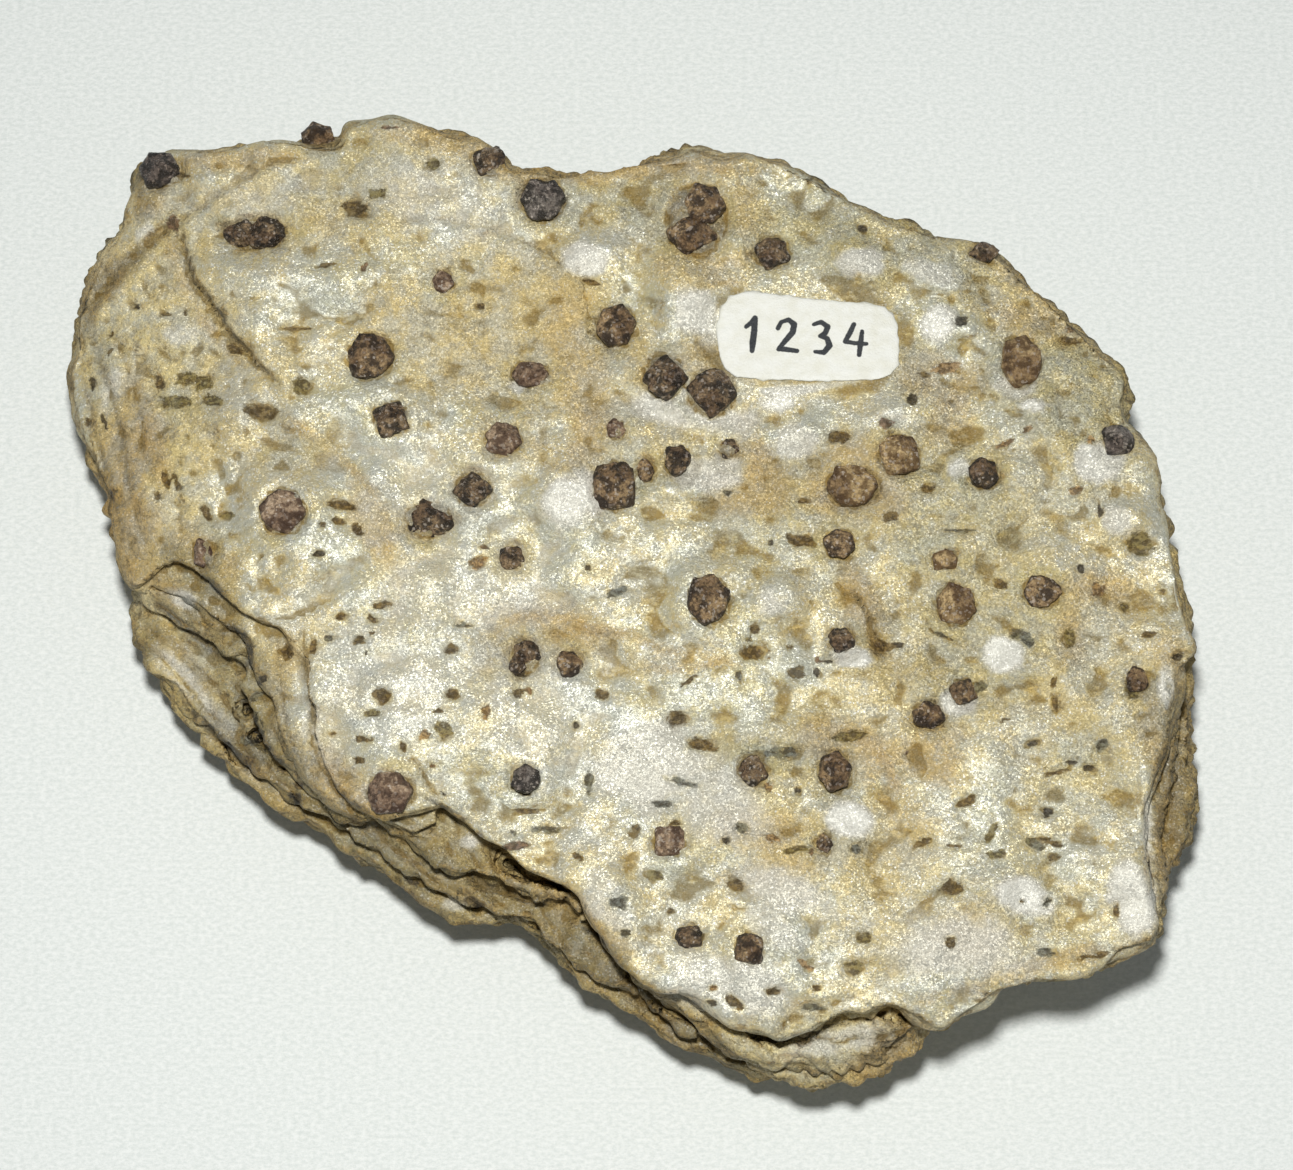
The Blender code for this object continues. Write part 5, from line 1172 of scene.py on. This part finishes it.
def garnet_mesh(node):
    """The crystal's own faces, cut finer, its corners worn round and its surface crushed."""
    bm = bmesh.new()
    bm.from_mesh(node.data)
    bmesh.ops.scale(bm, vec=(1 / MM,) * 3, verts=bm.verts)
    bmesh.ops.remove_doubles(bm, verts=bm.verts, dist=1e-4)
    bmesh.ops.triangulate(bm, faces=bm.faces)
    bmesh.ops.subdivide_edges(bm, edges=bm.edges, cuts=7, use_grid_fill=True)
    bmesh.ops.smooth_vert(bm, verts=bm.verts, factor=0.5, use_axis_x=True, use_axis_y=True, use_axis_z=True)
    bm.normal_update()
    mesh = bpy.data.meshes.new(node.name)
    bm.to_mesh(mesh)
    bm.free()
    points, normals = points_of(mesh), normals_of(mesh)
    x, y, z = points.T
    middle = (points.min(axis=0) + points.max(axis=0)) / 2
    half = (points.max(axis=0) - points.min(axis=0)) / 2
    # How much painted shade each facet takes, by the way it faces
    facet_shade = noise_at(*(normals * 1.3 + middle).T, 1.0, 5.0)
    rough = 0.24 * noise_at(x, y, z, 1.9, 3.0) + 0.22 * noise_at(x, y, z, 0.75, 8.0) + 0.08
    points += normals * rough[:, None]
    rim = np.hypot((x - middle[0]) / half[0], (y - middle[1]) / half[1])
    points[:, 2] -= 0.25 * np.maximum(0.0, points[:, 2] - middle[2])
    put_points(mesh, np.clip(points * MM, *cad_box))
    store(mesh, "rim", rim)
    store(mesh, "facet_shade", facet_shade)
    return mesh


garnet_finishes = {name: garnet_finish(name) for name in GARNET_LOOKS}
slots = {row["node"]: row["material_slot"] for row in frame["record"]["subparts"]}
for name, node in sorted(frame["nodes"].items()):
    if not name.startswith("garnet_"):
        continue
    garnet = dressed(f"crystal_{name[-2:]}", garnet_mesh(node), garnet_finishes[slots[name]])
    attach(garnet, "root")
    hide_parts(name)

# The label: a patch of white paint brushed on the stone's top face, with plain figures in black ink.
# The patch is a thin film with a worn, wavy edge, and the ink is drawn in its surface as pen strokes.

# The patch's rim as plan places
LABEL_OUTLINE = [
    (8.6, 33.0), (8.5, 31.2), (8.9, 28.8), (9.5, 27.3), (10.7, 26.3), (12.6, 25.9), (18.0, 25.7),
    (23.5, 25.6), (28.4, 25.8), (29.9, 26.4), (30.7, 27.6), (31.0, 29.6), (30.8, 32.4), (30.2, 34.2),
    (29.2, 35.1), (26.5, 35.7), (20.2, 36.3), (14.6, 37.0), (11.6, 37.1), (10.2, 36.6), (9.2, 35.2),
]

# Levels of the film's two sides, and the grid of its mesh, in mm
LABEL_BOTTOM, LABEL_TOP = 33.4, 34.5
LABEL_GRID = 0.16

# Pen strokes of the figures: plan place and half width of the stroke
STROKES = [
    [
        (12.2, 32.6, 0.28), (12.8, 33.1, 0.3), (13.3, 33.7, 0.36), (13.2, 32.2, 0.4), (13.0, 30.6, 0.42),
        (12.9, 29.5, 0.3),
    ],
    [
        (16.1, 32.4, 0.3), (16.5, 33.2, 0.26), (17.4, 33.5, 0.3), (18.1, 32.9, 0.38), (17.9, 31.9, 0.4),
        (17.0, 30.8, 0.34), (16.1, 29.7, 0.26), (17.0, 29.7, 0.34), (18.4, 29.5, 0.3),
    ],
    [
        (20.5, 32.9, 0.26), (21.4, 33.2, 0.3), (22.2, 32.6, 0.36), (21.9, 31.8, 0.34), (21.2, 31.4, 0.24),
        (22.1, 31.1, 0.34), (22.4, 30.2, 0.4), (21.7, 29.3, 0.34), (20.6, 29.4, 0.24),
    ],
    [(25.4, 32.9, 0.3), (24.9, 31.8, 0.34), (24.3, 30.7, 0.3), (25.4, 30.5, 0.28), (26.9, 30.4, 0.26)],
    [(26.4, 32.0, 0.26), (26.2, 30.6, 0.36), (26.0, 29.0, 0.3)],
]


def label_mesh():
    """The film with its worn rim, and how far each point is from the ink."""
    film = leaf_solid("label_film", LABEL_OUTLINE, LABEL_BOTTOM, LABEL_TOP)
    grid = film.modifiers.new("even_grid", "REMESH")
    grid.mode = "VOXEL"
    grid.voxel_size = LABEL_GRID
    mesh = finished_mesh(film)
    points, ends = points_of(mesh), edges_of(mesh)
    points = evened(points, ends, 6)
    put_points(mesh, points)
    normals = normals_of(mesh)
    x, y, z = points.T
    wavy = 0.34 * noise_at(x, y, z, 1.3, 2.0) + 0.08 * noise_at(x, y, z, 0.5, 9.0)
    brushed = 0.06 * noise_at(x, y, z, (2.6, 1.0, 2.0), 4.0) + 0.03 * noise_at(x, y, z, 0.6, 6.0)
    side = 1.0 - np.abs(normals[:, 2])
    points += normals * (wavy * side + brushed * (1 - side))[:, None]
    ink = np.full(len(x), 2.0)
    for stroke in STROKES:
        for (ax, ay, aw), (bx, by, bw) in zip(stroke, stroke[1:]):
            dx, dy = bx - ax, by - ay
            part = np.clip(((x - ax) * dx + (y - ay) * dy) / (dx * dx + dy * dy), 0.0, 1.0)
            away = np.hypot(x - ax - part * dx, y - ay - part * dy)
            ink = np.minimum(ink, away - (aw + (bw - aw) * part))
    put_points(mesh, settled(points))
    store(mesh, "ink", ink)
    return mesh


def label_finish():
    """White paint, yellowed in small patches, with black ink inside the pen strokes."""
    made = Finish("painted_label")
    broad = made.noise(0.5, 4.0)
    fine = made.noise(4.0, 4.0, 0.6)
    colour = made.mix(made.spread(broad, 0.35, 0.7), (0.80, 0.815, 0.765), (0.74, 0.745, 0.66))
    colour = made.mix(made.spread(fine, 0.62, 0.78, 0.0, 0.35), colour, (0.62, 0.60, 0.48))
    line = made.plus(made.attribute("ink"), made.times(made.minus(fine, 0.5), 0.16))
    colour = made.mix(made.spread(line, 0.06, -0.06), colour, (0.02, 0.025, 0.03))
    return made.surface(
        base_color=colour,
        roughness=made.spread(fine, 0.3, 0.7, 0.5, 0.65),
        normal=made.bump(made.times(fine, 0.12), 1.0),
    )


label = dressed("painted_label", label_mesh(), label_finish())
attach(label, "root")
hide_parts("label")

# The studio: a pale paper sheet under the stone, one lamp close above the camera and a soft light all round.
# None of it belongs to the object.
FLOOR_HALF = 1.2
LAMP_DISTANCE, LAMP_ELEVATION, LAMP_AZIMUTH = 0.485, 84.3, -8.0
LAMP_SIZE, LAMP_POWER = 0.036, 2.5
SKY_STRENGTH = 0.13

# The camera's sensor in mm, the picture's width in pixels, and its pixels for each mm of the top face
SENSOR_WIDTH = 36.0
PICTURE_WIDTH, PICTURE_SCALE = 1293.0, 8.3

floor_builder = bmesh.new()
bmesh.ops.create_grid(floor_builder, x_segments=1, y_segments=1, size=FLOOR_HALF)
floor_shape = bpy.data.meshes.new("paper_sheet")
floor_builder.to_mesh(floor_shape)
floor_builder.free()
paper = Finish("pale_paper")
paper_grain = paper.noise(1.3, 5.0, 0.7, (1.0, 1.7, 1.0))
floor_shape.materials.append(
    paper.surface(
        base_color=paper.mix(paper.spread(paper_grain, 0.3, 0.7), (0.72, 0.775, 0.755), (0.89, 0.93, 0.915)),
        roughness=0.8,
        normal=paper.bump(paper.times(paper_grain, 0.25), 0.5),
    )
)
floor = linked("paper_sheet", floor_shape)

look_at = Vector((-MIDDLE[0], -MIDDLE[1], TOP - MIDDLE[2])) * MM


def from_above(distance, elevation, azimuth=0.0):
    """A place at that distance from the middle of the top face, and the turn that looks at it from there."""
    up, around = math.radians(elevation), math.radians(azimuth)
    away = Vector((math.sin(around) * math.cos(up), -math.cos(around) * math.cos(up), math.sin(up)))
    return look_at + away * distance, away.to_track_quat("Z", "Y").to_euler()


camera_data = bpy.data.cameras.new("camera")
camera_data.sensor_width = SENSOR_WIDTH
camera_data.lens = SENSOR_WIDTH * PICTURE_SCALE * EYE_DISTANCE / PICTURE_WIDTH
camera_data.clip_start = 0.01
camera = linked("camera", camera_data)
camera.location, camera.rotation_euler = from_above(EYE_DISTANCE * MM, EYE_ELEVATION)
bpy.context.scene.camera = camera

lamp_data = bpy.data.lights.new("lamp", "AREA")
lamp_data.shape = "DISK"
lamp_data.size = LAMP_SIZE
lamp_data.energy = LAMP_POWER
lamp_data.color = (1.0, 0.98, 0.95)
lamp = linked("lamp", lamp_data)
lamp.location, lamp.rotation_euler = from_above(LAMP_DISTANCE, LAMP_ELEVATION, LAMP_AZIMUTH)

sky = bpy.data.worlds.new("soft_light")
sky.use_nodes = True
sky.node_tree.nodes["Background"].inputs["Color"].default_value = (0.92, 0.96, 1.0, 1.0)
sky.node_tree.nodes["Background"].inputs["Strength"].default_value = SKY_STRENGTH
bpy.context.scene.world = sky
bpy.context.scene.view_settings.view_transform = "Standard"

bpy.context.view_layer.update()
